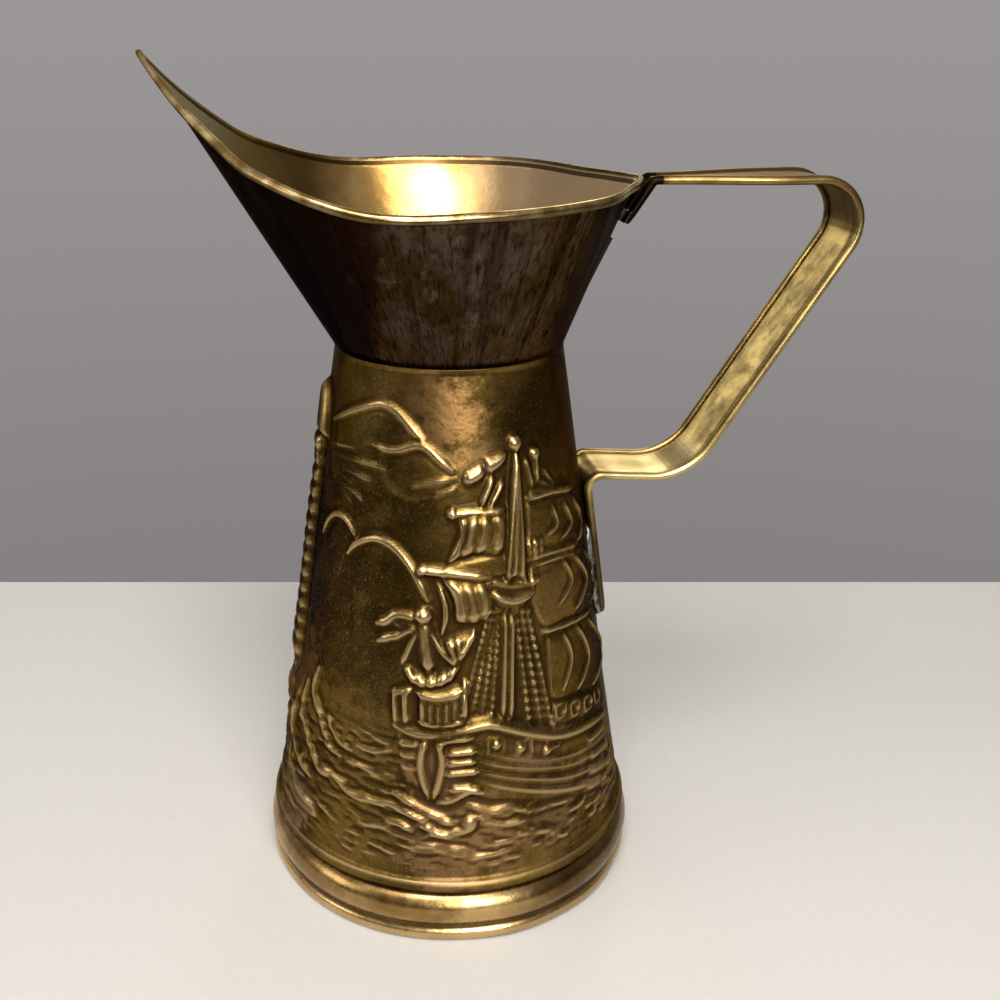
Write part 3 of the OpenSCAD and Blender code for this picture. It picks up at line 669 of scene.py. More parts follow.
# The points of the picture are (degrees from the handle, height in mm). A rod or a fold is
# (width, rise, points), a filled shape is (rise, width of its rounded edge, points).
RODS: tuple[tuple[float, float, tuple[Point, ...]], ...] = (
    # Left yards of the mainmast, rim and rib of its top
    (2.8, 1.7, ((97.1, 135.2), (87.7, 135.9), (75.6, 135.8))),
    (3.2, 2.2, ((108.8, 118.6), (99.8, 118.1), (83, 116.1))),
    (3.2, 1.5, ((84.2, 115.4), (74.4, 112.7), (63.3, 112.6))),
    (2, 0.9, ((82.8, 111.4), (74.7, 108.5), (65.6, 109.1))),
    # Struts of the flags at the masthead
    (2.4, 1.6, ((80.6, 145.1), (83, 141.2), (86, 137.1))),
    (1.8, 1.2, ((76, 143.2), (79.3, 139.5), (81.9, 136.8))),
    # Lower mast between the nets
    (2.6, 1.3, ((77.3, 105.3), (78.5, 90.8), (80.2, 71.7))),
    (2.6, 1.3, ((74.5, 104.9), (75.9, 90.4), (77.4, 71.2))),
    # Small mast and its stays
    (2, 1.2, ((58.9, 149.2), (58.4, 145.3), (58.9, 141.5))),
    (1.6, 0.9, ((63.9, 148.4), (61.3, 140.4))),
    (1.6, 1, ((57.3, 141.2), (49.8, 137.8), (62.6, 138.9))),
    (1.6, 0.9, ((54.4, 144), (48.3, 138.1))),
    # Right yards
    (2.2, 1.5, ((64.8, 137.2), (50.7, 136.7), (34.5, 134.3))),
    (2.2, 1.5, ((65.9, 119.2), (54, 119.1), (34.8, 116.5))),
    (2, 1.4, ((63.8, 117.2), (50.2, 116.6), (32.2, 114.1))),
    (2.4, 1.6, ((61.9, 96.1), (51, 95.3), (29.7, 93.1))),
    # Curves of the three right sails
    (2, 1.2, ((34.8, 130.6), (27.9, 122.2), (35.4, 117.7))),
    (1.8, 1, ((43.8, 132.2), (39.8, 125.2), (47, 122.1))),
    (1.8, 0.9, ((52.1, 133.1), (50, 127.1), (56.5, 124.9))),
    (2, 1.2, ((29.8, 113.3), (12.7, 98.7), (29, 94.6))),
    (2, 1.2, ((40.9, 115.4), (32.3, 105.2), (43, 98.3))),
    (1.8, 1, ((48.9, 116.6), (44.3, 108.4), (52.6, 102.8))),
    (2, 1.2, ((34.1, 91.8), (20.3, 76.5), (35.4, 69.6))),
    (2, 1.2, ((44.1, 93.4), (37.5, 81.6), (46.4, 73))),
    (1.8, 1, ((52.9, 94.3), (49.2, 84.7), (55.1, 75.5))),
    # Staff over the bow, its stays and its flags
    (5.0, 2.0, ((107.3, 104.2), (106.5, 96.7), (105.6, 88.5))),
    (2.4, 1.4, ((106, 101.8), (101.5, 95.2), (96.4, 90.4))),
    (2.2, 1.3, ((109.2, 101.6), (112.4, 96), (115, 90.4))),
    (2.2, 1.2, ((94.4, 92.6), (91.6, 96.4), (89.4, 100.2))),
    (3.4, 1.4, ((125.2, 101.2), (121.5, 102.4), (118.3, 104.6), (114.6, 105), (110, 104.4))),
    (3, 1.3, ((124.4, 95.8), (120.4, 97.6), (117.4, 98.4), (113.6, 100.4), (109.6, 101.6))),
    (3, 1, ((119.4, 103.4), (116, 101.8), (112.5, 102.6))),
    # Tub under the staff, with the arch at its left
    (3.6, 2.2, ((109.6, 82), (105.5, 81.1), (100.8, 81), (93.3, 83))),
    (2.4, 1.5, ((109.1, 72.8), (101.4, 71.6), (93.5, 73.4))),
    (2.4, 1.5, ((93.3, 85.5), (92.8, 74.3))),
    (2, 1.3, ((117.7, 81), (117, 71.4))),
    (2, 1.3, ((113.8, 82.2), (113.1, 72))),
    (2.4, 1.4, ((118.5, 80.9), (111.1, 82.8))),
    # Rails along the hull
    (3.4, 1.9, ((116.9, 70.5), (109.6, 68.9), (100.4, 69.2), (91.8, 70.8), (85.4, 71.5), (79.3, 69.7),
                (70.6, 66.2), (59.3, 62.1), (44.4, 59.2), (26.9, 56.1))),
    (2.2, 1.2, ((110.7, 70.7), (100.4, 71), (92.1, 72.7), (85.4, 73.4), (78.5, 71.4), (69.7, 67.6),
                (59, 64), (45.3, 61.6))),
    # Stem, and the bars at both of its sides
    (2.4, 1.7, ((106.3, 67.6), (107.8, 59.3), (105, 48.3))),
    (2.4, 1.6, ((102.3, 67.9), (100.7, 59.7), (103.5, 48.4))),
    (2.8, 1.3, ((101.7, 65.4), (99.4, 67.3), (90.9, 68))),
    (2.8, 1.4, ((99.1, 63.3), (90, 63.8))),
    (2.8, 1.4, ((99.4, 60), (90.1, 60.5))),
    (2.8, 1.3, ((99.7, 56.8), (89.2, 57.3))),
    (2.8, 1.2, ((98.1, 51.7), (91.2, 52.1))),
    (3, 1.4, ((101.9, 47.2), (96.9, 48.2), (91.8, 51.2), (88, 49.8))),
    (2.6, 1.1, ((115, 65.4), (108.6, 65.6))),
    (2.6, 1, ((114.8, 61.9), (108.8, 61.7))),
    (2.6, 0.65, ((114, 57.9), (109, 57.9))),
    # Planks of the hull, and the bars at its stern
    (2.4, 0.6, ((89, 63.4), (74.8, 58.8), (59.2, 54.4), (41.8, 51.6), (28.6, 49.7))),
    (2.6, 0.65, ((88.4, 60.1), (73.9, 55.7), (52.9, 50.2), (37.8, 48.2))),
    (2.4, 0.6, ((89.2, 57), (73.4, 52), (56.3, 46.9), (37.5, 42.9))),
    (2.6, 0.6, ((88, 53.4), (71.9, 47.9), (53.5, 41.9), (33.6, 36.7))),
    (2.6, 1.3, ((44.1, 54.1), (31.2, 53))),
    (2.6, 1.3, ((43.9, 48.1), (27.3, 46))),
    (2.4, 1.1, ((44.8, 43.3), (27.6, 39))),
    (2.4, 1, ((47.5, 38.9), (32.1, 34.6))),
    (2.6, 0.65, ((51.9, 34.8), (37.3, 30.4))),
    # Bow wave, and the swell round the hull
    (3.8, 1.35, ((140.2, 48.2), (135.1, 46.5), (131.6, 44.7), (125.2, 44.4), (115.6, 45), (107.8, 41.6),
                (103.4, 38), (97.9, 37.2), (93, 38.6), (92, 41.5))),
    (3.2, 1.1, ((116, 49.1), (110.1, 45.9), (102.5, 42.6), (97.2, 39.8))),
    (6, 0.9, ((111.9, 32.5), (103.3, 32.8), (94.6, 30.8))),
    (2.6, 0.9, ((92.5, 46.4), (85.6, 43.7), (78.4, 43.7), (72.3, 40.1))),
    (2.6, 0.6, ((89.5, 42.2), (82.6, 39.3), (74.6, 38.1))),
    (2.6, 0.8, ((131, 36.8), (123, 36.7), (115, 39.2), (110.5, 37.3))),
    (2.6, 0.6, ((76.2, 33.9), (67.4, 32.5), (57.7, 27))),
    (2.6, 0.6, ((134.6, 55), (125.4, 54.5), (116.9, 54.5))),
    (2.2, 0.7, ((133, 60.8), (124.3, 60.7), (117.9, 62))),
    # Breakers under the lighthouse
    (4.0, 1.3, ((152.8, 79), (154.6, 70.8), (149.5, 65.4), (143.4, 58.4), (137.6, 54.6))),
    (3.8, 1.35, ((159.8, 72), (160.8, 62.4), (154.7, 54.1), (146.8, 48.1), (140.2, 48.2))),
    (4.0, 1.3, ((168, 63.2), (168.9, 52.5), (161.8, 46.2), (151.7, 42.2))),
    (2.8, 1.2, ((145, 65.9), (139.2, 60.7), (132.8, 58.3))),
    (2.6, 1.1, ((169.8, 44.6), (166.1, 39.3), (155.8, 35), (147.9, 33.5))),
    # Clouds
    (2.7, 1.3, ((163.1, 155.5), (150.8, 159.5), (141.5, 162.3), (130.3, 164.8), (122.6, 163.5),
                (115.4, 159.6), (110, 155.9))),
    (2.5, 1.2, ((133.1, 152.8), (125.9, 152.2), (119.9, 152.5), (112.1, 154.2), (107.4, 153.5),
                (102, 150.5), (97.1, 147.5))),
    (2.6, 1.2, ((160.7, 120.9), (155.8, 126.6), (149.5, 129.4), (142.8, 128.1), (137.2, 124.1))),
    (2.8, 1.4, ((141.9, 118.9), (137, 123.2), (128.6, 125.9), (121.4, 124.9), (114.7, 120.6),
                (109.8, 115), (106.4, 109.6))),
    # Rays between the clouds, and two faint streaks by the masthead
    (1.5, 0.5, ((164.7, 147.9), (152.1, 149.5), (141.2, 150.2))),
    (1.5, 0.55, ((163.5, 145.4), (143, 146.7), (125.9, 146.5))),
    (1.5, 0.55, ((162.9, 144), (152.4, 144.3), (142.7, 145))),
    (1.5, 0.55, ((161.3, 143.1), (146.2, 143.1), (131.2, 141.8))),
    (1.5, 0.5, ((160.8, 141.6), (150, 140.9), (141.8, 139.8))),
    (1.5, 0.55, ((160.3, 140.2), (145.2, 138.2), (135.5, 135.5))),
    (1.4, 0.45, ((159.6, 138.5), (149, 136.9), (142, 134))),
    (1.4, 0.6, ((114.1, 143), (105.9, 144.2), (95.9, 145.2))),
    (1.4, 0.6, ((105, 140), (95.5, 142.6))),
)
# Folds of the left sails, upright lines of the mast, staves of the tub, pleats over it and folds
# of the jib
FOLDS: tuple[tuple[float, float, tuple[Point, ...]], ...] = (
    (4.2, 0.9, ((88.5, 135.2), (90.2, 129.3), (92.3, 123.2))),
    (4, 0.9, ((84.5, 135), (85.1, 129.3), (87.3, 123.9))),
    (4, 0.8, ((79.5, 135.2), (78.2, 129.5), (80.2, 123.9))),
    (2.6, 0.7, ((93.6, 134.6), (93.7, 129.1), (97.2, 122.2))),
    (4.6, 1, ((99.1, 116.9), (95.1, 111.2), (94.1, 104.3))),
    (4.6, 0.9, ((93.2, 116.2), (90.3, 110.2), (89.4, 103.8))),
    (4.2, 0.8, ((87.6, 115.6), (85.9, 109.9), (85.7, 105))),
    (2, 0.7, ((70.7, 150.7), (73.2, 133.6), (76.2, 116.6))),
    (2, 0.8, ((69.5, 150.6), (71, 133.3), (73.3, 116.2))),
    (2, 0.7, ((68.5, 150.4), (69.1, 133.1), (70.3, 115.7))),
    (2.6, 0.8, ((107.5, 79.7), (107, 72.9))),
    (2.6, 0.9, ((104.8, 79.6), (104.7, 72.5))),
    (2.6, 0.9, ((102.1, 79.4), (102.1, 72.3))),
    (2.6, 0.9, ((99.4, 79.5), (99.4, 72.6))),
    (2.6, 0.8, ((96.7, 80.1), (96.8, 73.2))),
    (2, 0.7, ((112.8, 89.6), (110.8, 85.2))),
    (2, 0.7, ((108.8, 88), (108, 84))),
    (2, 0.7, ((104.8, 87.6), (104.6, 83.6))),
    (2, 0.7, ((100.8, 88.6), (101.2, 84.4))),
    (2, 0.7, ((97.2, 90), (98, 86))),
    (2.2, 0.8, ((98.4, 97.8), (96.3, 91.7))),
    (2.2, 0.8, ((95.6, 98.4), (94.2, 92.3))),
)
# Three sails and a furled one at the left, three at the right
SAILS: tuple[tuple[float, float, tuple[Point, ...]], ...] = (
    (1.6, 3, ((95.2, 134.3), (86.1, 135.4), (75.7, 135.1), (75.3, 129.5), (76.1, 123.4), (81.1, 122.5),
                (87.3, 123.3), (93.5, 122.4), (99.5, 120.7), (96.4, 125.4), (94.5, 130))),
    (1, 2, ((101.3, 118.9), (98.3, 120.7), (88.5, 122.2), (76.6, 122.3), (76.6, 116.6), (83.7, 116.5))),
    (1.7, 3, ((102.4, 117.1), (92.4, 115.9), (83, 114.7), (81.8, 108.3), (84.2, 104.3), (90.2, 102.7),
                (96.2, 103.8), (96.6, 108.3), (98.7, 112.8))),
    (1.4, 1.8, ((105, 117.1), (100.9, 113.3), (98.4, 108.9), (98.4, 104.4), (101.5, 98.4),
                (101.2, 103.8), (101.3, 108.6), (102.8, 113.3))),
    (0.8, 3, ((65.5, 136.1), (53, 135.1), (34.1, 132.3), (29.3, 122.7), (34.4, 117.4), (53.8, 120),
                (65.8, 120.1), (65.4, 128.1))),
    (0.9, 3, ((65.7, 116.4), (50.4, 115.5), (28.8, 112.3), (19.1, 100.8), (29, 94.6), (49.4, 97.1),
                (60.8, 97.4), (65.2, 104.4), (66.4, 110.1))),
    (0.9, 3, ((60.7, 94.3), (50.7, 93.6), (29.5, 90.7), (20.3, 76.5), (33.5, 68.8), (47.8, 71.9),
                (60.2, 74.6), (60.9, 84.5))),
)
# Mast's top and flags, mast, jib, bundle, tub and arch, stern castle, hull, rock, and clouds
SHAPES: tuple[tuple[float, float, tuple[Point, ...]], ...] = (
    (1.9, 3.2, ((83.8, 114.2), (74.5, 111.5), (63.9, 111.5), (65.3, 107.8), (69.5, 105.2), (75.3, 105),
                (80.7, 106.9), (83.6, 110.6))),
    (1.6, 1.6, ((84.2, 150.7), (73.9, 151.9), (74.6, 148.8), (80.6, 146.2), (83.5, 147.5))),
    (1.6, 1.8, ((92.6, 147.1), (84.7, 149.3), (83.6, 145.6), (89.5, 143.3), (92.7, 144.3))),
    (1.7, 1.8, ((71.3, 151.9), (67.9, 151.5), (67.3, 137.2), (67.3, 114.3), (72.6, 114.6),
                (77.5, 115.8), (74.1, 138.1))),
    (1.1, 2, ((101.5, 98.1), (91.3, 100), (92.5, 93.4), (95.3, 90.2), (98.4, 91.4))),
    (1.9, 2.2, ((116, 91.6), (114, 86.4), (109.6, 83.2), (102.8, 83.2), (97.2, 85.5), (94.2, 90.8),
                (98.6, 90), (103.2, 87.8), (108.6, 87.8), (112.6, 90.2))),
    (1.2, 2, ((109.3, 80.8), (101.4, 80.3), (93, 81.8), (92.8, 73.1), (101.4, 71.3), (109, 72.1))),
    (0.8, 1.6, ((118.1, 81), (111, 82.2), (110.7, 72.3), (117, 71.7))),
    (0.8, 2, ((60.3, 73.6), (47.4, 70.7), (25.4, 64.8), (24.4, 57), (47.6, 62.6), (61.2, 65.4))),
    (0.9, 3, ((117.2, 70.1), (109.6, 68.6), (100.4, 68.8), (91.8, 70.5), (85.4, 71.2), (79.3, 69.3),
                (70.6, 65.9), (59.3, 61.8), (44.5, 58.8), (25.5, 55.3), (39.3, 35.6), (60.6, 40.8),
                (75.6, 45), (91.9, 48.3), (101.3, 47.5), (109.2, 51.1), (114.3, 55.3))),
    (1.3, 2.2, ((167.6, 33.2), (156.4, 38.3), (147.7, 35.8), (145.3, 29.9), (152.5, 28.5), (160.9, 29.4))),
    (0.6, 3, ((160.8, 155.7), (141.4, 161.8), (130.3, 164.2), (122.6, 163), (110, 155.4), (119, 152.8),
                (132.5, 152.6), (144.9, 149.6), (158, 148.4))),
    (0.6, 4, ((131.9, 152.1), (119.9, 151.9), (107.4, 152.9), (97.1, 146.9), (105.8, 139.4),
                (118.1, 138.6), (127.5, 143.4))),
    (0.5, 3, ((158.7, 121.1), (149.4, 128.8), (137.7, 124), (141.8, 118.3), (149.9, 108.7))),
    (0.7, 5, ((140.1, 118.6), (128.5, 125.4), (120.6, 124.4), (109.1, 113.6), (106.4, 109),
                (106.8, 95.1), (115.3, 82), (133.8, 78.1), (138.5, 99.1))),
)
# Bosses on the masthead, the yard ends, the bow, the ports and the crest: width, rise and place
KNOBS: tuple[tuple[float, float, Point], ...] = (
    (4.2, 2.3, (69.3, 154)), (3, 2.2, (97.1, 135.2)), (3, 2.3, (108.8, 118.6)),
    (4.8, 2.4, (107.7, 105.3)), (3.2, 1.6, (58.8, 149.7)), (2.8, 1.3, (82.9, 64.9)), (2.8, 1.3, (74.3, 62.3)),
    (2.8, 1.3, (64.4, 58.9)), (2.4, 0.9, (48, 67.5)), (2.4, 0.9, (39.2, 65.8)), (2.4, 0.9, (55.5, 69.1)),
    (4.6, 1.6, (92.3, 39.9)),
)
# Port and window frames: place and half width
PORTS: tuple[tuple[Point, float], ...] = (
    ((83, 64.5), 2.4), ((73, 62.0), 2.4), ((61.5, 61.3), 2.4), ((57, 69.6), 2.2), ((49.5, 67.6), 2.2),
    ((41.5, 66.0), 2.2), ((33.5, 65.0), 2.2),
)
# Nets of ropes: four corners from the top left, then the counts of ropes and of rungs
NETS: tuple[tuple[tuple[Point, ...], int, int], ...] = (
    (((83.8, 106.1), (79.6, 105.6), (84.4, 72.3), (94.4, 75.7)), 4, 15),
    (((72.9, 104.6), (67.9, 103.7), (61.1, 66.4), (70.4, 68.4)), 3, 14),
    (((65.9, 123.7), (59.9, 123.8), (60.5, 119.3), (66.4, 119.2)), 3, 3),
)


class Relief:
    """The height of the pressed picture over one half of the body, in millimetres.

    A shape is drawn on the cone unrolled about its own middle angle a0, where a point at angle a
    and height z lies at u = (a - a0) r(z), v = z. Filled shapes are the ground, and the lines and
    bosses are a detail whose height is added to it.
    """

    strength = 0.9
    blur = 0.55
    sail_hem = 0.45

    def __init__(self, angles: Array, heights: Array) -> None:
        """Starts a flat field.

        Args:
            angles: Angles of the grid, from 0 to 180 degrees.
            heights: Heights of the grid, in millimetres.
        """
        self.angles, self.heights = angles, heights
        self.ground = np.zeros((len(angles), len(heights)))
        self.detail = np.zeros_like(self.ground)

    def chart(self, line: Array, margin: float) -> tuple[tuple[slice, slice], Array, Array, Array]:
        """The part of the grid round a line, unrolled.

        Args:
            line: Points in degrees and millimetres, (n, 2).
            margin: Room to leave round the line, in millimetres.

        Returns:
            The slices of the grid, its u and v there, and the line's points as (u, v).
        """
        middle = line[:, 0].mean()
        side = math.degrees(margin / SIZES.neck_r)
        low, high = line.min(0), line.max(0)
        i = slice(*np.searchsorted(self.angles, (low[0] - side, high[0] + side)))
        j = slice(*np.searchsorted(self.heights, (low[1] - margin, high[1] + margin)))
        v = self.heights[j][None, :]
        u = np.radians(self.angles[i][:, None] - middle) * SIZES.cone_r(v)
        flat = np.stack((np.radians(line[:, 0] - middle) * SIZES.cone_r(line[:, 1]), line[:, 1]), 1)
        return (i, j), u, np.broadcast_to(v, u.shape), flat

    @staticmethod
    def nearest(u: Array, v: Array, line: Array) -> tuple[Array, Array]:
        """Distance from each grid point to a line, and how far along the line its nearest point is.

        Args:
            u: First coordinate of the grid points.
            v: Second coordinate of the grid points.
            line: The line's points, (n, 2).

        Returns:
            The distances in millimetres and the shares of the line's pieces, from 0 to 1.
        """
        best = np.full(u.shape, np.inf)
        along = np.zeros(u.shape)
        count = len(line) - 1
        for k in range(count):
            a, step = line[k], line[k + 1] - line[k]
            t = np.clip(((u - a[0]) * step[0] + (v - a[1]) * step[1]) / max(step @ step, 1e-9), 0, 1)
            d = np.hypot(u - a[0] - t * step[0], v - a[1] - t * step[1])
            along = np.where(d < best, (k + t) / count, along)
            best = np.minimum(best, d)
        return best, along

    def rod(self, width: float, rise: float, points: Sequence[Point]) -> None:
        """A rounded ridge along a line: rise (1 - (d / 0.68 width)^2)^2, thinner towards its ends.

        Args:
            width: Width of the ridge, in millimetres.
            rise: Height of its crest, in millimetres.
            points: The line, in degrees and millimetres.
        """
        where, u, v, line = self.chart(flowing_line(points), 1.2 * width)
        distance, along = self.nearest(u, v, line)
        slim = 0.62 + 0.38 * smoothstep(np.minimum(along, 1 - along) * 7)
        height = rise * slim * np.clip(1 - (distance / (0.68 * width * slim)) ** 2, 0, 1) ** 2
        self.detail[where] = np.maximum(self.detail[where], height)

    def shape(self, rise: float, edge: float, points: Sequence[Point], hem: float = 0.0) -> None:
        """A filled shape with a rounded edge: rise (1 - (1 - d / edge)^2) inside its outline.

        Args:
            rise: Height of its middle, in millimetres.
            edge: Width of the rounded edge.
            points: The outline, in degrees and millimetres.
            hem: Extra height of a thin roll just inside the outline, as a sail has.
        """
        closed = flowing_line((*points, points[0]), 4)
        where, u, v, line = self.chart(closed, 1.0)
        distance, _ = self.nearest(u, v, line)
        inside = np.zeros(u.shape, bool)
        for a, b in zip(line[:-1], line[1:]):
            crosses = (a[1] > v) != (b[1] > v)
            rise_v = b[1] - a[1] if b[1] != a[1] else 1.0
            inside ^= crosses & (u < a[0] + (v - a[1]) * (b[0] - a[0]) / rise_v)
        height = rise * (1 - (1 - np.clip(distance / edge, 0, 1)) ** 2) * inside
        height = height + hem * np.exp(-(((distance - 0.6) / 0.6) ** 2)) * inside
        self.ground[where] = np.maximum(self.ground[where], height)

    def net(self, corners: Sequence[Point], ropes: int, rungs: int) -> None:
        """Ropes from the top edge of a four-cornered net to its bottom edge, with knotted rungs.

        Args:
            corners: Its corners in turn, from the top left.
            ropes: How many ropes there are.
            rungs: How many rungs there are.
        """
        top_l, top_r, low_r, low_l = (np.asarray(c, float) for c in corners)
        for s in np.linspace(0, 1, ropes):
            self.rod(1.5, 0.6, (top_l + (top_r - top_l) * s, low_l + (low_r - low_l) * s))
        for t in np.linspace(0, 1, rungs):
            left, right = top_l + (low_l - top_l) * t, top_r + (low_r - top_r) * t
            self.rod(1.3, 0.35, (left, right))
            for s in np.linspace(0, 1, ropes):
                self.knob(1.9, 0.9 + 0.25 * math.sin(9 * t + 5 * s), left + (right - left) * s)

    def knob(self, width: float, rise: float, place: Sequence[float]) -> None:
        """A round boss: rise sqrt(1 - (d / 0.55 width)^2).

        Args:
            width: Width of the boss, in millimetres.
            rise: Height of its top, in millimetres.
            place: Its middle, in degrees and millimetres.
        """
        spot = np.array([place, place], float)
        where, u, v, line = self.chart(spot, width)
        d = np.hypot(u - line[0, 0], v - line[0, 1])
        height = rise * np.sqrt(np.clip(1 - (d / (0.55 * width)) ** 2, 0, 1))
        self.detail[where] = np.maximum(self.detail[where], height)

    def lighthouse(self) -> None:
        """A column of stacked stones under the lip, with its lantern and cap."""
        self.shape(1.3, 3.0, ((170, 74), (173, 146), (190, 146), (190, 74)))
        for k in range(14):
            z = 77.0 + 5.3 * k
            self.rod(5.6, 1.2, ((171.5 + 0.1 * k, z), (186, z)))
        self.shape(2.0, 2.0, ((173, 141), (173.5, 149), (188, 149), (188, 141)))
        self.shape(2.9, 3.0, ((167.5, 148.5), (169.5, 157), (176, 164.5), (186, 164.5), (192, 148.5)))

    def ports(self) -> None:
        """Square frames round the gun ports and the windows of the stern."""
        for (a, z), half in PORTS:
            side = math.degrees(half / SIZES.cone_r(z))
            low, high = z - half, z + half
            for start, end in (((a - side, low), (a + side, low)), ((a + side, low), (a + side, high)),
                               ((a + side, high), (a - side, high)), ((a - side, high), (a - side, low))):
                self.rod(1.3, 0.6, (start, end))

    def sea(self) -> None:
        """Rippled water: ridges cos^2(pi (z - w) / 3.6) along bands w that wave with the angle,
        broken up by slow unevenness, below the ship and the rocks."""
        a, z = self.angles[:, None], self.heights[None, :]
        shore = 46.0 + 24.0 * smoothstep((a - 106) / 12) - 14 * smoothstep((20 - a) / 14)
        band = 1.7 * waves(a, z, scales=(30.0, 26.0), seed=2) + 0.15 * np.maximum(a - 112, 0)
        crest = np.cos(math.pi * (z - band) / 3.6) ** 2
        broken = smoothstep(0.5 + 0.9 * waves(a, z, scales=(17.0, 7.0), seed=3))
        mottle = 0.42 * smoothstep(0.4 + 1.1 * waves(a, z, scales=(8.0, 3.6), seed=5))
        fade = smoothstep((z - 23.5) / 4) * smoothstep((shore - z) / 5)
        self.ground = np.maximum(self.ground, (0.6 * crest * broken + mottle) * fade)

    def rocks(self) -> None:
        """Knotty strands of rock and weed at the lighthouse's feet: slanted waves cut by short ones."""
        a, z = self.angles[:, None], self.heights[None, :]
        bent = 3.0 * waves(a, z, scales=(40.0, 17.0), seed=7)
        strand = np.cos(math.pi * (a + 0.25 * z + bent) / 8.0) ** 2
        cut = np.sin(z / 1.9 + a / 4.0 + 2 * waves(a, z, scales=(19.0, 14.0), seed=12))
        lump = strand * (0.6 + 0.4 * cut)
        shore = 60.0 + 18.0 * smoothstep((a - 150) / 22)
        here = smoothstep((a - 145) / 9) * smoothstep((z - 37) / 6) * smoothstep((shore - z) / 8)
        self.ground = np.maximum(self.ground, 1.3 * lump * here)

    def draw(self) -> Array:
        """Draws the whole picture: ground first, then the lines and bosses on it.

        Returns:
            Its height in millimetres over the grid, slightly blurred.
        """
        self.sea()
        self.rocks()
        for rise, edge, points in SAILS:
            self.shape(rise, edge, points, hem=self.sail_hem)
        for rise, edge, points in SHAPES:
            self.shape(rise, edge, points)
        for width, rise, points in RODS + FOLDS:
            self.rod(width, rise, points)
        for corners, ropes, rungs in NETS:
            self.net(corners, ropes, rungs)
        self.ports()
        self.lighthouse()
        for width, rise, place in KNOBS:
            self.knob(width, rise, place)
        return softened(self.strength * (self.ground + self.detail), self.blur)


# ---------------------------------------------------------------- the sheet-metal pieces


class Slot(Enum):
    """The record's material slots."""

    BRASS_DARK = "brass_dark"
    BRASS_GOLD = "brass_gold"
    BRASS_PALE = "brass_pale"
    WIRE = "wire"
    SOLDER = "solder"


def settle(piece: bpy.types.Object, finish: Finish, slot: Slot, *nodes: str) -> None:
    """Gives a piece its material, lets it stand for its CAD nodes on the body, and logs it.

    Args:
        piece: The piece.
        finish: Its material.
        slot: Not used.
        nodes: The CAD nodes that it stands for.
    """
    piece.data.materials.append(finish.material)
    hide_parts(*nodes)
    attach(piece, "root")
    LOG.info("%s: %d faces, for %s", piece.name, len(piece.data.polygons), ", ".join(nodes))


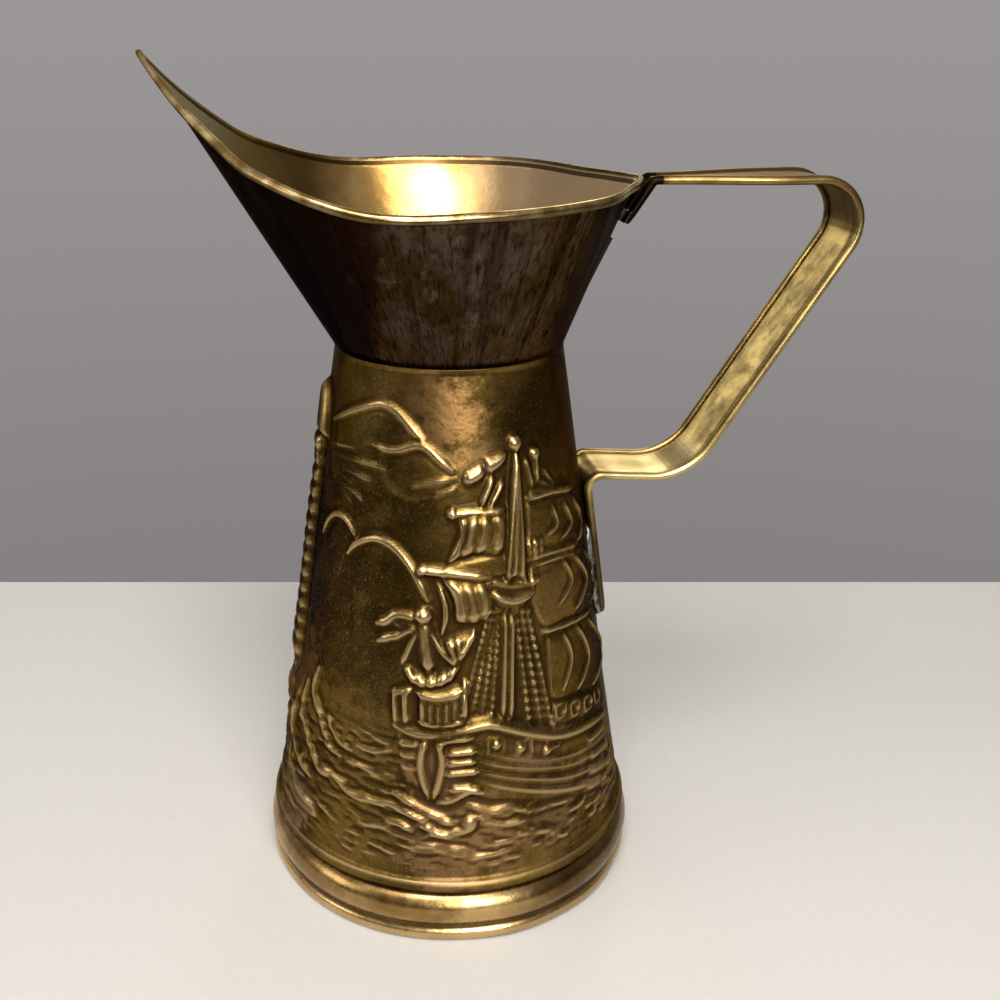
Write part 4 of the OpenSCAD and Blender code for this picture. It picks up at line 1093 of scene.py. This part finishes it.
@dataclass
class Body:
    """The tapered body with its pressed picture and the bead at its lower edge.

    The picture lies between picture_gap over the bead's middle and picture_top, and from
    picture_start degrees on. The steps are those of the relief's grid, of which the mesh takes
    every second angle.
    """

    rows: int = 206
    fine_step: float = 0.6
    coarse_step: float = 2.0
    picture_start: float = 18.0
    picture_gap: float = 2.6
    picture_top: float = 167.0
    dent: float = 0.16

    def half_angles(self) -> Array:
        """Steps round half the body, closer together where the picture is.

        Returns:
            Angles from 0 to 180 degrees.
        """
        plain = np.arange(0.0, self.picture_start, self.coarse_step)
        count = 2 * round((180.0 - plain[-1]) / self.fine_step / 2)
        return np.concatenate((plain[:-1], np.linspace(plain[-1], 180.0, count + 1)))

    def build(self) -> bpy.types.Object:
        """The closed skin: picture outside, top edge, plain wall inside and bead below.

        The outside lies at r = cone(z) + relief(angle, z) + dents(angle, z), with the same relief
        on both halves.

        Returns:
            The body's object, with a wear_and_painted_light attribute from -1 in recesses to 1 on high spots,
            which on the bead also paints shade underneath and along its top edge.
        """
        s = SIZES
        half = self.half_angles()
        bead_z = s.foot_h + s.body_bead_r
        bead_c = s.cone_r(bead_z) + s.body_bead_out - s.body_bead_r
        picture = np.linspace(bead_z + self.picture_gap, self.picture_top, self.rows)
        heights = np.concatenate((picture, np.linspace(self.picture_top + 1.5, s.body_h - 0.5, 5)))
        relief = Relief(half, heights).draw()
        fine, broad = softened(relief, 1.5), softened(relief, 5.0)
        # The mark is full at 0.18 mm over the close surroundings and 0.6 mm over the wider ones
        wear_and_painted_light = np.clip(0.6 * (relief - fine) / 0.18 + 0.35 * (relief - broad) / 0.6, -1, 1)

        both = np.concatenate((np.arange(0, len(half), 2), np.arange(len(half) - 2, 0, -1)))
        angles = half[both] * np.where(np.arange(len(both)) <= len(half) // 2, 1.0, -1.0)
        relief, wear_and_painted_light = relief[both], wear_and_painted_light[both]
        dents = self.dent * waves(angles[:, None], heights[None, :], scales=(60.0, 55.0), seed=4)
        dents = dents * smoothstep((heights - bead_z - 3) / 12) * smoothstep((s.body_h - heights) / 12)
        outer = s.cone_r(heights)[None, :] + relief + dents

        inner_low = s.cone_r(s.foot_h + s.foot_lap) - s.body_t
        edge = [
            (s.neck_r + 0.25, s.body_h - 0.3), (s.neck_r + 0.1, s.body_h - 0.05),
            (s.neck_r - 0.1, s.body_h), (s.neck_r - s.body_t, s.body_h),
        ]
        inside = [(s.cone_r(z) - s.body_t, z) for z in (s.body_h - 1.0, 120.0, 70.0, bead_z + 1.0)]
        inside += [(inner_low, bead_z), (inner_low, s.foot_h)]
        bead = np.array(arc((bead_c, bead_z), s.body_bead_r, -90.0, 62.0, 12))
        after = np.array(edge + inside)
        # The bead's mark runs from painted shade underneath, in the crease over the foot, to rubbed pale on
        # its crest, and its last point paints a line of shade where the bead meets the wall
        bead_mark = np.linspace(-1.0, 0.85, len(bead))
        bead_mark[-1] = -0.3

        def all_round(low: Any, middle: Array, high: Any) -> Array:
            """The picture's grid with further columns before and after it, alike at every angle."""
            return np.hstack((np.tile(low, (len(angles), 1)), middle, np.tile(high, (len(angles), 1))))

        radii = all_round(bead[:, 0], outer, after[:, 0])
        z = np.concatenate((bead[:, 1], heights, after[:, 1]))[None, :]
        mark = all_round(bead_mark, wear_and_painted_light, [0.15] * len(edge) + [0.0] * len(inside))
        return skin("body_embossed", turned(angles, radii, z), (True, True), {"wear_and_painted_light": mark})

    def dress(self, piece: bpy.types.Object) -> None:
        """The dark patina, in place of the CAD body."""
        settle(piece, BodyPatina(), Slot.BRASS_DARK, "body_shell")


@dataclass
class Foot:
    """The foot: a big round bead over a rolled hem, and the spigot inside the body."""

    columns: int = 400
    dent: float = 0.22

    def build(self) -> bpy.types.Object:
        """The closed skin: an outline of arcs turned about the axis, r = outline + dents(angle, z).

        Returns:
            The foot's object, with a wear_and_painted_light attribute that is low in the grooves and under
            the hem for painted shade and high on the hem's outer face for a painted highlight.
        """
        s = SIZES
        low = s.hem_h - s.foot_t
        big = (s.foot_h - low) / 2
        bead, hem_r = (s.foot_reach - big, low + big), s.hem_h / 2
        hem = (s.hem_reach - hem_r, hem_r)
        spigot = s.cone_r(s.foot_h + s.foot_lap) - s.body_t - s.fit
        top = s.foot_h + s.foot_lap
        start = math.degrees(math.acos((spigot - bead[0]) / big))
        # Spigot, bead, groove, hem, inner side of the bead and back to the spigot, with their marks: low for
        # painted shade at the bead's ends, in the groove and under the hem, high on the hem for a painted
        # highlight
        runs = (
            ([(spigot - s.foot_t, top), (spigot, top), (spigot, s.foot_h)], [0.0, 0.0, -1.0]),
            (arc(bead, big, start, -47.0, 30), 0.6 - 1.3 * np.abs(np.linspace(-1.0, 1.0, 30)) ** 9),
            ([(hem[0] + 1.55, s.hem_h - 0.15)], [-0.75]),
            (arc(hem, hem_r, 48.0, -180.0, 26), [0.9] * 9 + list(np.linspace(0.7, -0.5, 17))),
            (arc(bead, big - s.foot_t, -62.0, start, 12), [0.0] * 12),
            ([(spigot - s.foot_t, s.foot_h - 0.4)], [0.0]),
        )
        path = np.concatenate([points for points, _ in runs])
        marks = np.concatenate([wear_and_painted_light for _, wear_and_painted_light in runs])
        angles = np.arange(self.columns) * (360.0 / self.columns)
        turn = np.radians(angles)[:, None]
        share = smoothstep((s.foot_h - 0.2 - path[:, 1]) / 3.0) * (path[:, 0] > hem[0] - hem_r + 0.1)
        ring = (np.cos(turn) * 60, np.sin(turn) * 60, path[None, :, 1])
        dents = self.dent * waves(*ring, scales=(50.0, 50.0, 30.0), seed=6)
        radii = path[None, :, 0] + dents * share[None, :]
        mark = np.tile(marks, (self.columns, 1))
        return skin("foot_beaded", turned(angles, radii, path[None, :, 1]), (True, True), {"wear_and_painted_light": mark})

    def dress(self, piece: bpy.types.Object) -> None:
        """The warm gold, in place of the CAD foot."""
        settle(piece, FootBrass(), Slot.BRASS_GOLD, "foot_ring")


# Stations of the rim: angle from the handle, then shares of the tip's extra height, of the side
# reach, of the tip's reach and of the back's reach
RIM_SHARES: tuple[tuple[float, ...], ...] = (
    (0, 0, 0, 0, 1), (12, 0, 0.35, 0, 0.55), (30, 0, 0.81, 0, 0), (60, 0.01, 0.91, 0, 0), (90, 0, 1, 0, 0),
    (115, 0.01, 1.075, 0, 0), (140, 0.235, 1.11, 0, 0), (155, 0.42, 0.80, 0.235, 0),
    (168, 0.68, 0.30, 0.68, 0), (180, 1, 0, 1, 0),
)


def between_stations(table: Array, column: int, angle: Array) -> Array:
    """A cubic Hermite curve through a table's column, with slopes from the neighbouring stations.

    Args:
        table: Rows of stations, with the angle first.
        column: The column to read.
        angle: Angles in degrees.

    Returns:
        The column's value at each angle.
    """
    x, y = table[:, 0], table[:, column]
    before, after = np.maximum(np.arange(len(x)) - 1, 0), np.minimum(np.arange(len(x)) + 1, len(x) - 1)
    slope = (y[after] - y[before]) / (x[after] - x[before])
    i = np.clip(np.searchsorted(x, angle, side="left") - 1, 0, len(x) - 2)
    w = x[i + 1] - x[i]
    t = (angle - x[i]) / w
    return ((2 * t**3 - 3 * t**2 + 1) * y[i] + (t**3 - 2 * t**2 + t) * w * slope[i]
            + (3 * t**2 - 2 * t**3) * y[i + 1] + (t**3 - t**2) * w * slope[i + 1])


@dataclass(frozen=True)
class Rim:
    """The rim's centre line and its roll, at angles in degrees from the handle."""

    angles: Array
    centre: Array
    roll_r: Array
    sheet: Array


@dataclass
class Collar:
    """The funnel collar, drawn out to a pointed lip, with its rim rolled over a wire."""

    columns: int = 540
    wall: int = 26
    roll: int = 22
    curl_end: float = -100.0
    sag: float = 0.3

    def rim(self) -> Rim:
        """The rim: r and z are sums of the reaches and heights by their shares at each angle.

        Returns:
            Its centre line, and its roll and sheet, which thin out towards the lip's tip.
        """
        s = SIZES
        angles = np.arange(self.columns) * (360.0 / self.columns)
        folded = np.minimum(angles, 360.0 - angles)
        table = np.array(RIM_SHARES, float)
        z = s.rim_h + s.tip_rise * between_stations(table, 1, folded)
        r = sum(reach * between_stations(table, k, folded)
                for k, reach in ((2, s.rim_side), (3, s.tip_reach), (4, s.rim_back)))
        roll_r = s.rim_roll_d / 2 * (1 - 0.34 * smoothstep((folded - 160) / 18))
        return Rim(angles, np.stack((r, z), 1), roll_r, np.minimum(s.collar_t, roll_r * 0.6))

    def wire(self) -> bpy.types.Object:
        """The wire that the rim is rolled over: circles swept along the rim's centre line.

        Returns:
            The wire's object.
        """
        rim = self.rim()
        turn = np.linspace(0.0, 2.0 * math.pi, 13)[1:]
        r = (rim.roll_r - rim.sheet - SIZES.fit)[:, None]
        across, up = rim.centre[:, :1] + r * np.cos(turn), rim.centre[:, 1:] + r * np.sin(turn)
        points = turned(rim.angles, across, up)
        return skin("rim_wire_ring", points, (True, True), {"wear_and_painted_light": np.zeros(points.shape[:2])})

    def build(self) -> bpy.types.Object:
        """The closed skin of the sheet. At every angle it runs straight from the neck to the rim,
        neck + (rim - neck) u plus a slight sag, and then curls outward by an arc of the roll.

        Returns:
            The collar's object, with side (0 outside, 1 inside, 2 rim) and flow (mm along the
            ring, mm up the wall) attributes.
        """
        s = SIZES
        rim = self.rim()
        angles, centre, roll_r = rim.angles, rim.centre[:, None, :], rim.roll_r[:, None, None]
        foot = np.array([s.neck_r, s.body_h])
        along = centre - foot
        d = along / np.linalg.norm(along, axis=2, keepdims=True)
        n = np.stack((d[..., 1], -d[..., 0]), -1)
        t, t_top = s.collar_t, rim.sheet[:, None, None]
        core = s.neck_r - s.body_t - s.fit - t
        # The last stations stand close together for the dark groove under the roll
        up = np.append(np.linspace(0.0, 0.945, self.wall - 5), (0.948, 0.96, 0.972, 0.985, 1.0))
        up = up[None, :, None]
        sag = self.sag * waves(angles[:, None], up[..., 0] * 50, scales=(70.0, 60.0), seed=8)
        sag = (sag * np.sin(math.pi * up[..., 0]) ** 1.5)[..., None]
        outer = foot + (centre - n * (roll_r - t_top) - foot) * up + n * sag
        low_in = foot - n * t
        inner = low_in + (centre - n * roll_r - low_in) * up + n * sag
        curl = np.radians(np.linspace(180.0, self.curl_end, self.roll))[None, :, None]
        round_in = centre + (roll_r - t_top) * (n * np.cos(curl) + d * np.sin(curl))
        round_out = centre + roll_r * (n * np.cos(curl) + d * np.sin(curl))
        neck_z, spigot = s.body_h - s.neck_lap, core + t
        low = np.tile(np.array([[core, neck_z], [spigot, neck_z], [spigot, s.body_h]]), (self.columns, 1, 1))
        corner_z = s.body_h + (core - low_in[..., 0]) * d[..., 1] / d[..., 0]
        corner = np.stack((np.full(corner_z.shape, core), corner_z), -1)
        section = (low, outer[:, :-1], round_in, round_out[:, ::-1], inner[:, -2:0:-1], corner)
        section = np.concatenate(section, 1)
        # Spigot, outside, rim from its curled edge to its crest, groove under the roll, inside
        bead = np.maximum(np.linspace(3.0, 1.4, self.roll - 1), 2.0)
        groove = [1.6, 1.27, 1.27, 1.27]
        sides = (np.ones(2), np.zeros(self.wall + self.roll), bead, groove, np.ones(self.wall - 4))
        side = np.tile(np.concatenate(sides), (self.columns, 1))
        run = np.linalg.norm(section - foot, axis=2)
        ring = np.radians(angles)[:, None] * 48.0
        flow = np.stack(np.broadcast_arrays(ring, run, side * 40.0), -1)
        points = turned(angles, section[..., 0], section[..., 1])
        return skin("collar_funnel", points, (True, True), {"side": side, "flow": flow})

    def dress(self, piece: bpy.types.Object) -> None:
        """Dark outside and gold inside, in place of the CAD collar, and the wire in its rim."""
        settle(piece, CollarBrass(), Slot.BRASS_DARK, "spout_collar")
        settle(self.wire(), WireBrass(), Slot.WIRE, "rim_wire")


@dataclass(frozen=True)
class StrapStations:
    """The stations of the handle's sweep: length along it, middle (x, z), the direction square to
    the sheet, the share of the width kept at the rounded ends, and how far the flat part is
    pinched towards the rim."""

    stops: Array
    middle: Array
    square_to: Array
    share: Array
    pinch: Array


@dataclass
class Handle:
    """The strap handle: flat sheet whose two edges are rolled over wires, pinched at the rim."""

    step: float = 0.9
    roll_zone: float = 2.6
    pinch: float = 0.2
    pinch_run: float = 44.0
    bump: float = 0.2

    def route(self) -> Array:
        """The strap's way in the plane of the handle: straight runs joined by round bends.

        Returns:
            Points (x, z) in millimetres from the upper tang's end to the lower tang's end.
        """
        s = SIZES
        grip = s.rim_h + s.grip_rise
        off = s.solder_gap + s.strap_t / 2
        tang = grip - s.top_tang_h
        back = s.neck_r + (s.rim_back - s.neck_r) * (tang - s.body_h) / s.collar_h
        fold = s.rim_back + s.rim_roll_d / 2 + s.strap_t + s.fold_bend_r / 2
        heel = s.body_h - s.heel_drop
        arm = heel + s.arm_rise
        low = arm - s.low_tang_h
        corners = np.array([(back + off, tang), (fold, grip), (s.grip_reach, grip), (s.heel_reach, heel),
                            (s.cone_r(arm) + off, arm), (s.cone_r(low) + off, low)])
        bends = (s.fold_bend_r, s.grip_bend_r, s.heel_bend_r, s.tang_bend_r)
        path = [corners[0]]
        for i, r in enumerate(bends, 1):
            a, b = corners[i - 1] - corners[i], corners[i + 1] - corners[i]
            a, b = a / np.linalg.norm(a), b / np.linalg.norm(b)
            angle = math.acos(float(a @ b))
            middle = corners[i] + (a + b) / np.linalg.norm(a + b) * (r / math.sin(angle / 2))
            first = corners[i] + a * (r / math.tan(angle / 2)) - middle
            turn = (math.pi - angle) * np.sign(a[1] * b[0] - a[0] * b[1])
            for t in np.linspace(0.0, turn, 14):
                path.append(middle + np.array([first[0] * math.cos(t) - first[1] * math.sin(t),
                                               first[0] * math.sin(t) + first[1] * math.cos(t)]))
        path.append(corners[-1])
        return np.array(path)

    def profile(self) -> tuple[Array, Array]:
        """Half the strap's section, as the middle line of its sheet, and its outward direction.

        Returns:
            Points (across, square to the sheet) from edge to edge, and unit normals there.
        """
        s = SIZES
        half, r = s.strap_w / 2, (s.strap_roll_d - s.strap_t) / 2
        flat = np.linspace(0.0, half - self.roll_zone, 5)
        jog = np.linspace(half - self.roll_zone, half, 8)[1:]
        step = r * smoothstep((jog - half + self.roll_zone) / self.roll_zone)
        turn = np.radians(np.linspace(90.0, -150.0, 15))[1:]
        across = np.concatenate((flat, jog, half + r * np.cos(turn)))
        square = np.concatenate((flat * 0, step, r * np.sin(turn)))
        across = np.concatenate((-across[:0:-1], across))
        square = np.concatenate((square[:0:-1], square))
        line = np.stack((across, square), 1)
        way = np.gradient(line, axis=0)
        way /= np.linalg.norm(way, axis=1, keepdims=True)
        return line, np.stack((-way[:, 1], way[:, 0]), 1)

    def stations(self) -> StrapStations:
        """The stations of the sweep: the route cut into equal steps, with its own corners.

        Returns:
            The stations from the upper tang's end to the lower tang's end.
        """
        s = SIZES
        path = self.route()
        gaps = np.linalg.norm(np.diff(path, axis=0), axis=1)
        done = np.concatenate(([0.0], np.cumsum(gaps)))
        total = done[-1]
        stops = np.unique(np.concatenate((np.arange(0.0, total, self.step), done, [0.25, total - 0.25])))
        x, z = np.interp(stops, done, path[:, 0]), np.interp(stops, done, path[:, 1])
        way = np.stack((np.gradient(x, stops), np.gradient(z, stops)), 1)
        way /= np.linalg.norm(way, axis=1, keepdims=True)
        width = s.strap_w / 2 + s.strap_roll_d / 2

        def kept(distance: Array, r: float) -> Array:
            """Share of the width left at a distance from an end whose corners have radius r."""
            near = np.clip(r - distance, 0.0, r)
            return (width - r + np.sqrt(r * r - near * near)) / width

        share = kept(stops, s.tang_round_r / 2) * kept(total - stops, s.tang_round_r)
        pinch = self.pinch + (1 - self.pinch) * smoothstep((stops - s.top_tang_h) / self.pinch_run)
        return StrapStations(stops, np.stack((x, z), 1), np.stack((-way[:, 1], way[:, 0]), 1), share, pinch)

    def across(self, w: Array, at: StrapStations) -> Array:
        """Where a point of the profile lies across the strap: the flat part is narrowed to its
        pinched share and the rolls keep their shape, then both follow the rounded ends.

        Args:
            w: Places across the full strap, in millimetres.
            at: The stations.

        Returns:
            The places, (stations, points).
        """
        flat = SIZES.strap_w / 2 - self.roll_zone
        held = np.clip(w, -flat, flat)
        return (held[None, :] * at.pinch[:, None] + (w - held)[None, :]) * at.share[:, None]

    def build(self) -> bpy.types.Object:
        """The strap: its profile swept along its route, point = middle + square_to * lift across
        the sheet, pinched at the rim and rounded at both ends.

        Returns:
            The strap's object, with a wear_and_painted_light attribute that is high on the rolled edges and
            low for painted shade by one roll and on the upper tang.
        """
        s = SIZES
        at = self.stations()
        line, normal = self.profile()
        flat = smoothstep((s.strap_w / 2 - 3.0 - np.abs(line[:, 0])) / 3.0)
        bumps = waves(at.stops[:, None], line[None, :, 0], scales=(45.0, 30.0), seed=9)
        bumps = self.bump * bumps * flat[None, :]
        sides = []
        for out in (0.5, -0.5):
            edge = line + normal * s.strap_t * out
            across = self.across(edge[:, 0], at)
            lift = edge[None, :, 1] + bumps
            plane = at.middle[:, None, :] + at.square_to[:, None, :] * lift[..., None]
            sides.append(np.stack((plane[..., 0], across, plane[..., 1]), -1))
        points = np.concatenate((sides[0], sides[1][:, ::-1]), 1)
        rows, k = points.shape[0], line.shape[0]
        quads = [(i, i + 1, 2 * k - 2 - i, 2 * k - 1 - i) for i in range(k - 1)]
        last = (rows - 1) * 2 * k
        caps = [q[::-1] for q in quads] + [tuple(last + v for v in q) for q in quads]
        return skin("handle_strap_rolled", points, (False, True), {"wear_and_painted_light": self.wear_and_painted_light(line, at)}, caps)

    def wear_and_painted_light(self, line: Array, at: StrapStations) -> Array:
        """Marks of the strap, for rubbing and painted light: 0.5 on the rolls, 0.2 on the flat and less in
        the corners between them, lowest in the corner by the roll at -Y for painted shade, lowered along the
        top arm, much lowered on the upper tang for a painted shadow and lowered on the lower one.

        Args:
            line: The profile's points.
            at: The stations.

        Returns:
            The marks at every point of the swept grid, front and back.
        """
        s = SIZES
        # The corner by the roll at -Y is marked low, a painted shade
        side, corner = np.abs(line[:, 0]), -0.1 + 0.25 * np.sign(line[:, 0])
        half = np.where(side > s.strap_w / 2 - 2.9, corner, 0.2)
        half = np.where(side > s.strap_w / 2 - 0.6, 0.5, half)
        mark = np.tile(np.concatenate((half, half[::-1])), (len(at.stops), 1))
        # painted shadow: the upper tang is marked far down
        mark -= 2.6 * smoothstep((s.top_tang_h + 7 - at.stops) / 5)[:, None]
        mark -= 0.5 * smoothstep((96 - at.stops) / 14)[:, None]
        mark -= 0.7 * smoothstep((at.stops - at.stops[-1] + s.low_tang_h) / 6)[:, None]
        return mark

    def wire(self, side: int) -> bpy.types.Object:
        """The wire inside one rolled edge.

        Args:
            side: 1 for the edge at +Y, -1 for the other.

        Returns:
            The wire's object.
        """
        s = SIZES
        at = self.stations()
        r = s.strap_roll_d / 2 - s.strap_t - s.fit
        turn = np.linspace(0.0, 2.0 * math.pi, 15)[1:]
        middle = self.across(np.array([side * s.strap_w / 2]), at)
        across = middle + r * np.cos(turn)[None, :] * at.share[:, None]
        plane = at.middle[:, None, :] + at.square_to[:, None, :] * (r * np.sin(turn))[None, :, None]
        points = np.stack((plane[..., 0], across, plane[..., 1]), -1)
        rows, k = points.shape[:2]
        name = "handle_wire_tube_left" if side > 0 else "handle_wire_tube_right"
        return skin(name, points, (False, True), {"wear_and_painted_light": np.zeros((rows, k))}, end_faces(rows, k))

    def dress(self, piece: bpy.types.Object) -> None:
        """The rubbed pale gold on the strap, and the two wires in its rolls.

        Args:
            piece: The strap's object.
        """
        settle(piece, HandleBrass(), Slot.BRASS_PALE, "handle_strap")
        finish = WireBrass()
        for side, node in ((1, "handle_wire_left"), (-1, "handle_wire_right")):
            settle(self.wire(side), finish, Slot.WIRE, node)


@dataclass
class TangSolder:
    """The run of soft solder between the body and the lower tang, with a ragged concave fillet.

    It goes from height low to height high, and reach is half its width. It sinks into the body's
    wall, and its crest stays just short of the tang.
    """

    low: float = 83.5
    high: float = 117.0
    reach: float = 13.5
    sink: float = 0.25
    slack: float = 0.05
    rows: int = 110
    columns: int = 41

    def build(self) -> bpy.types.Object:
        """The closed skin: it lies on the body, and its thickness beyond the tang's rolls falls as
        ((reach - |y|) / margin)^1.6. Its rounded ends shrink as (1 - |2t - 1|^6)^(1/2).

        Returns:
            The solder's object.
        """
        s = SIZES
        t = np.linspace(0.0, 1.0, self.rows)[:, None]
        u = np.linspace(-1.0, 1.0, self.columns)[None, :]
        z = self.low + (self.high - self.low) * t
        ends = np.sqrt(1.0 - np.abs(2.0 * t - 1.0) ** 6)
        reach = self.reach + 0.45 * waves(z, np.sign(u) * 3.0, scales=(11.0, 9.0), seed=14)
        y = reach * u * (0.6 + 0.4 * ends)
        back = np.sqrt(s.cone_r(z) ** 2 - y**2) - self.sink
        margin = self.reach - s.strap_w / 2 - s.strap_roll_d / 2 + 0.1
        share = np.clip((reach - np.abs(y)) / margin, 0.0, 1.0) ** 1.6 * ends
        lumps = 0.12 * waves(z, y, scales=(4.0, 3.0), seed=15)
        front = back + (s.cone_r(z) + s.solder_gap - self.slack - back + lumps) * share
        radii = np.concatenate((front, back[:, -2:0:-1]), 1)
        across = np.concatenate((y, y[:, -2:0:-1]), 1)
        points = np.stack((radii, across, np.broadcast_to(z, radii.shape)), -1)
        rows, k = points.shape[:2]
        marks = {"wear_and_painted_light": np.zeros((rows, k))}
        return skin("solder_lower_tang", points, (False, True), marks, end_faces(rows, k))

    def dress(self, piece: bpy.types.Object) -> None:
        """Silvery grey, in place of the CAD solder."""
        settle(piece, SolderGrey(), Slot.SOLDER, "handle_lower_solder")


@dataclass(frozen=True)
class KeptNodes:
    """CAD nodes that stay as they are and only get a material."""

    plates: tuple[str, ...] = ("base_disc",)
    solders: tuple[str, ...] = (
        "body_seam_solder", "foot_solder", "base_solder", "neck_solder", "collar_seam_solder",
        "handle_upper_solder",
    )

    def dress(self) -> None:
        """Gives each node its material."""
        for names, finish in ((self.plates, WireBrass()), (self.solders, SolderGrey())):
            for name in names:
                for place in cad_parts[name].material_slots:
                    place.material = finish.material
                LOG.info("%s: kept, in %s", name, finish.name)


# ---------------------------------------------------------------- studio


@dataclass(frozen=True)
class Lamp:
    """A soft box: a square area light that looks at the pitcher. Its azimuth is counted from the
    handle and its elevation from the floor, in degrees; distance and size are in metres."""

    name: str
    azimuth: float
    elevation: float
    distance: float
    size: float
    watts: float
    target: Place = (0.0, 0.0, 0.13)
    colour: str = "fffaf3"

    def build(self) -> None:
        """Adds the lamp at target + distance (cos a cos e, sin a cos e, sin e), turned inward."""
        data = bpy.data.lights.new(self.name, "AREA")
        data.shape, data.size, data.energy = "SQUARE", self.size, self.watts
        data.color = srgb(self.colour)[:3]
        lamp = bpy.data.objects.new(self.name, data)
        lamp.visible_camera = False
        bpy.context.scene.collection.objects.link(lamp)
        a, e = math.radians(self.azimuth), math.radians(self.elevation)
        away = np.array([math.cos(a) * math.cos(e), math.sin(a) * math.cos(e), math.sin(e)])
        lamp.location = np.array(self.target) + away * self.distance
        lamp.rotation_euler = (math.pi / 2 - e, 0.0, a + math.pi / 2)


@dataclass(frozen=True)
class Studio:
    """Camera, floor, surroundings and lamps, in degrees and metres."""

    azimuth: float = -8.516
    distance: float = 0.35428
    height: float = 0.26534
    pitch: float = 21.872
    lens: float = 43.2
    shift: float = 0.051
    near_edge: float = -0.34
    side_edge: float = 0.75
    far_edge: float = 0.195

    def camera(self) -> None:
        """The camera, as far and as high as the photograph's own perspective says."""
        data = bpy.data.cameras.new("camera")
        data.sensor_width, data.lens, data.shift_x = 36.0, self.lens, self.shift
        data.clip_start, data.clip_end = 0.01, 50.0
        made = bpy.data.objects.new("camera", data)
        bpy.context.scene.collection.objects.link(made)
        a = math.radians(self.azimuth)
        made.location = (math.sin(a) * self.distance, -math.cos(a) * self.distance, self.height)
        made.rotation_euler = (math.pi / 2 - math.radians(self.pitch), 0.0, a)
        bpy.context.scene.camera = made

    def floor(self) -> None:
        """A pale table top whose far edge lies behind the pitcher, square to the camera."""
        a = math.radians(self.azimuth)
        right = np.array([math.cos(a), math.sin(a), 0.0])
        back = np.array([-math.sin(a), math.cos(a), 0.0])
        low = np.array([0.0, 0.0, -0.00002])
        near, side, far = self.near_edge, self.side_edge, self.far_edge
        ends = ((-side, near), (side, near), (side, far), (-side, far))
        mesh = bpy.data.meshes.new("floor")
        mesh.from_pydata([tuple(right * u + back * v + low) for u, v in ends], [], [(0, 1, 2, 3)])
        made = bpy.data.objects.new("floor", mesh)
        bpy.context.scene.collection.objects.link(made)
        mesh.materials.append(PalePaper().material)

    def surroundings(self) -> None:
        """A soft grey room, darker on the camera's side, whose wall is all that the camera sees."""
        world = bpy.data.worlds.new("room")
        bpy.context.scene.world = world
        world.use_nodes = True
        tree = world.node_tree
        tree.nodes.clear()
        _, back, up = add(tree, "SeparateXYZ", {0: add(tree, "TexCoord", {}, "Generated")}).node.outputs

        def shaded(way: Any, start: float, end: float, first: Any, second: Any) -> Any:
            """A colour that turns from the first to the second while a way goes from start to end."""
            share = add(tree, "MapRange", {0: way, 1: start, 2: end})
            return add(tree, "Mix", {0: share, 6: first, 7: second}, 2, data_type="RGBA")

        wall = shaded(up, -0.5, 0.0, "807b7c", "9a9796")
        room = shaded(up, 0.1, 0.8, shaded(back, -0.3, 0.5, "4a4746", "8d8a89"), "a09c98")
        seen = add(tree, "LightPath", {}, "Is Camera Ray")
        shown = add(tree, "Mix", {0: seen, 6: room, 7: wall}, 2, data_type="RGBA")
        light = add(tree, "Background", {"Color": shown, "Strength": 1.0})
        add(tree, "OutputWorld", {"Surface": light})

    def lamps(self) -> None:
        """The soft boxes: a window-like key over the camera, one low in front, a glow for the funnel,
        one at the left and three behind for the handle, the rim and the inside wall."""
        for lamp in (
            Lamp("key_box", -101.0, 57.0, 1.0, 0.42, 7.5),
            Lamp("front_box", -84.0, 23.0, 1.0, 0.46, 9.0),
            Lamp("glow_box", -133.0, 56.0, 1.1, 0.6, 2.4),
            Lamp("left_box", -168.0, 20.0, 1.1, 0.45, 2.2),
            Lamp("arm_box", 70.0, 28.0, 1.4, 0.32, 2.2),
            Lamp("rim_box", 58.0, 4.0, 1.3, 0.4, 0.4),
            Lamp("wall_box", 113.0, 17.0, 1.6, 0.5, 1.5),
        ):
            lamp.build()


def main() -> None:
    """Builds every sub-assembly in order, then the studio."""
    logging.basicConfig(level=logging.INFO, format="%(name)s: %(message)s")
    studio = Studio()
    studio.camera()
    for part in (Body(), Foot(), Collar(), Handle(), TangSolder()):
        part.dress(part.build())
    KeptNodes().dress()
    studio.floor()
    studio.surroundings()
    studio.lamps()
    bpy.context.scene.view_settings.view_transform = "Standard"


if __name__ == "__main__":
    main()
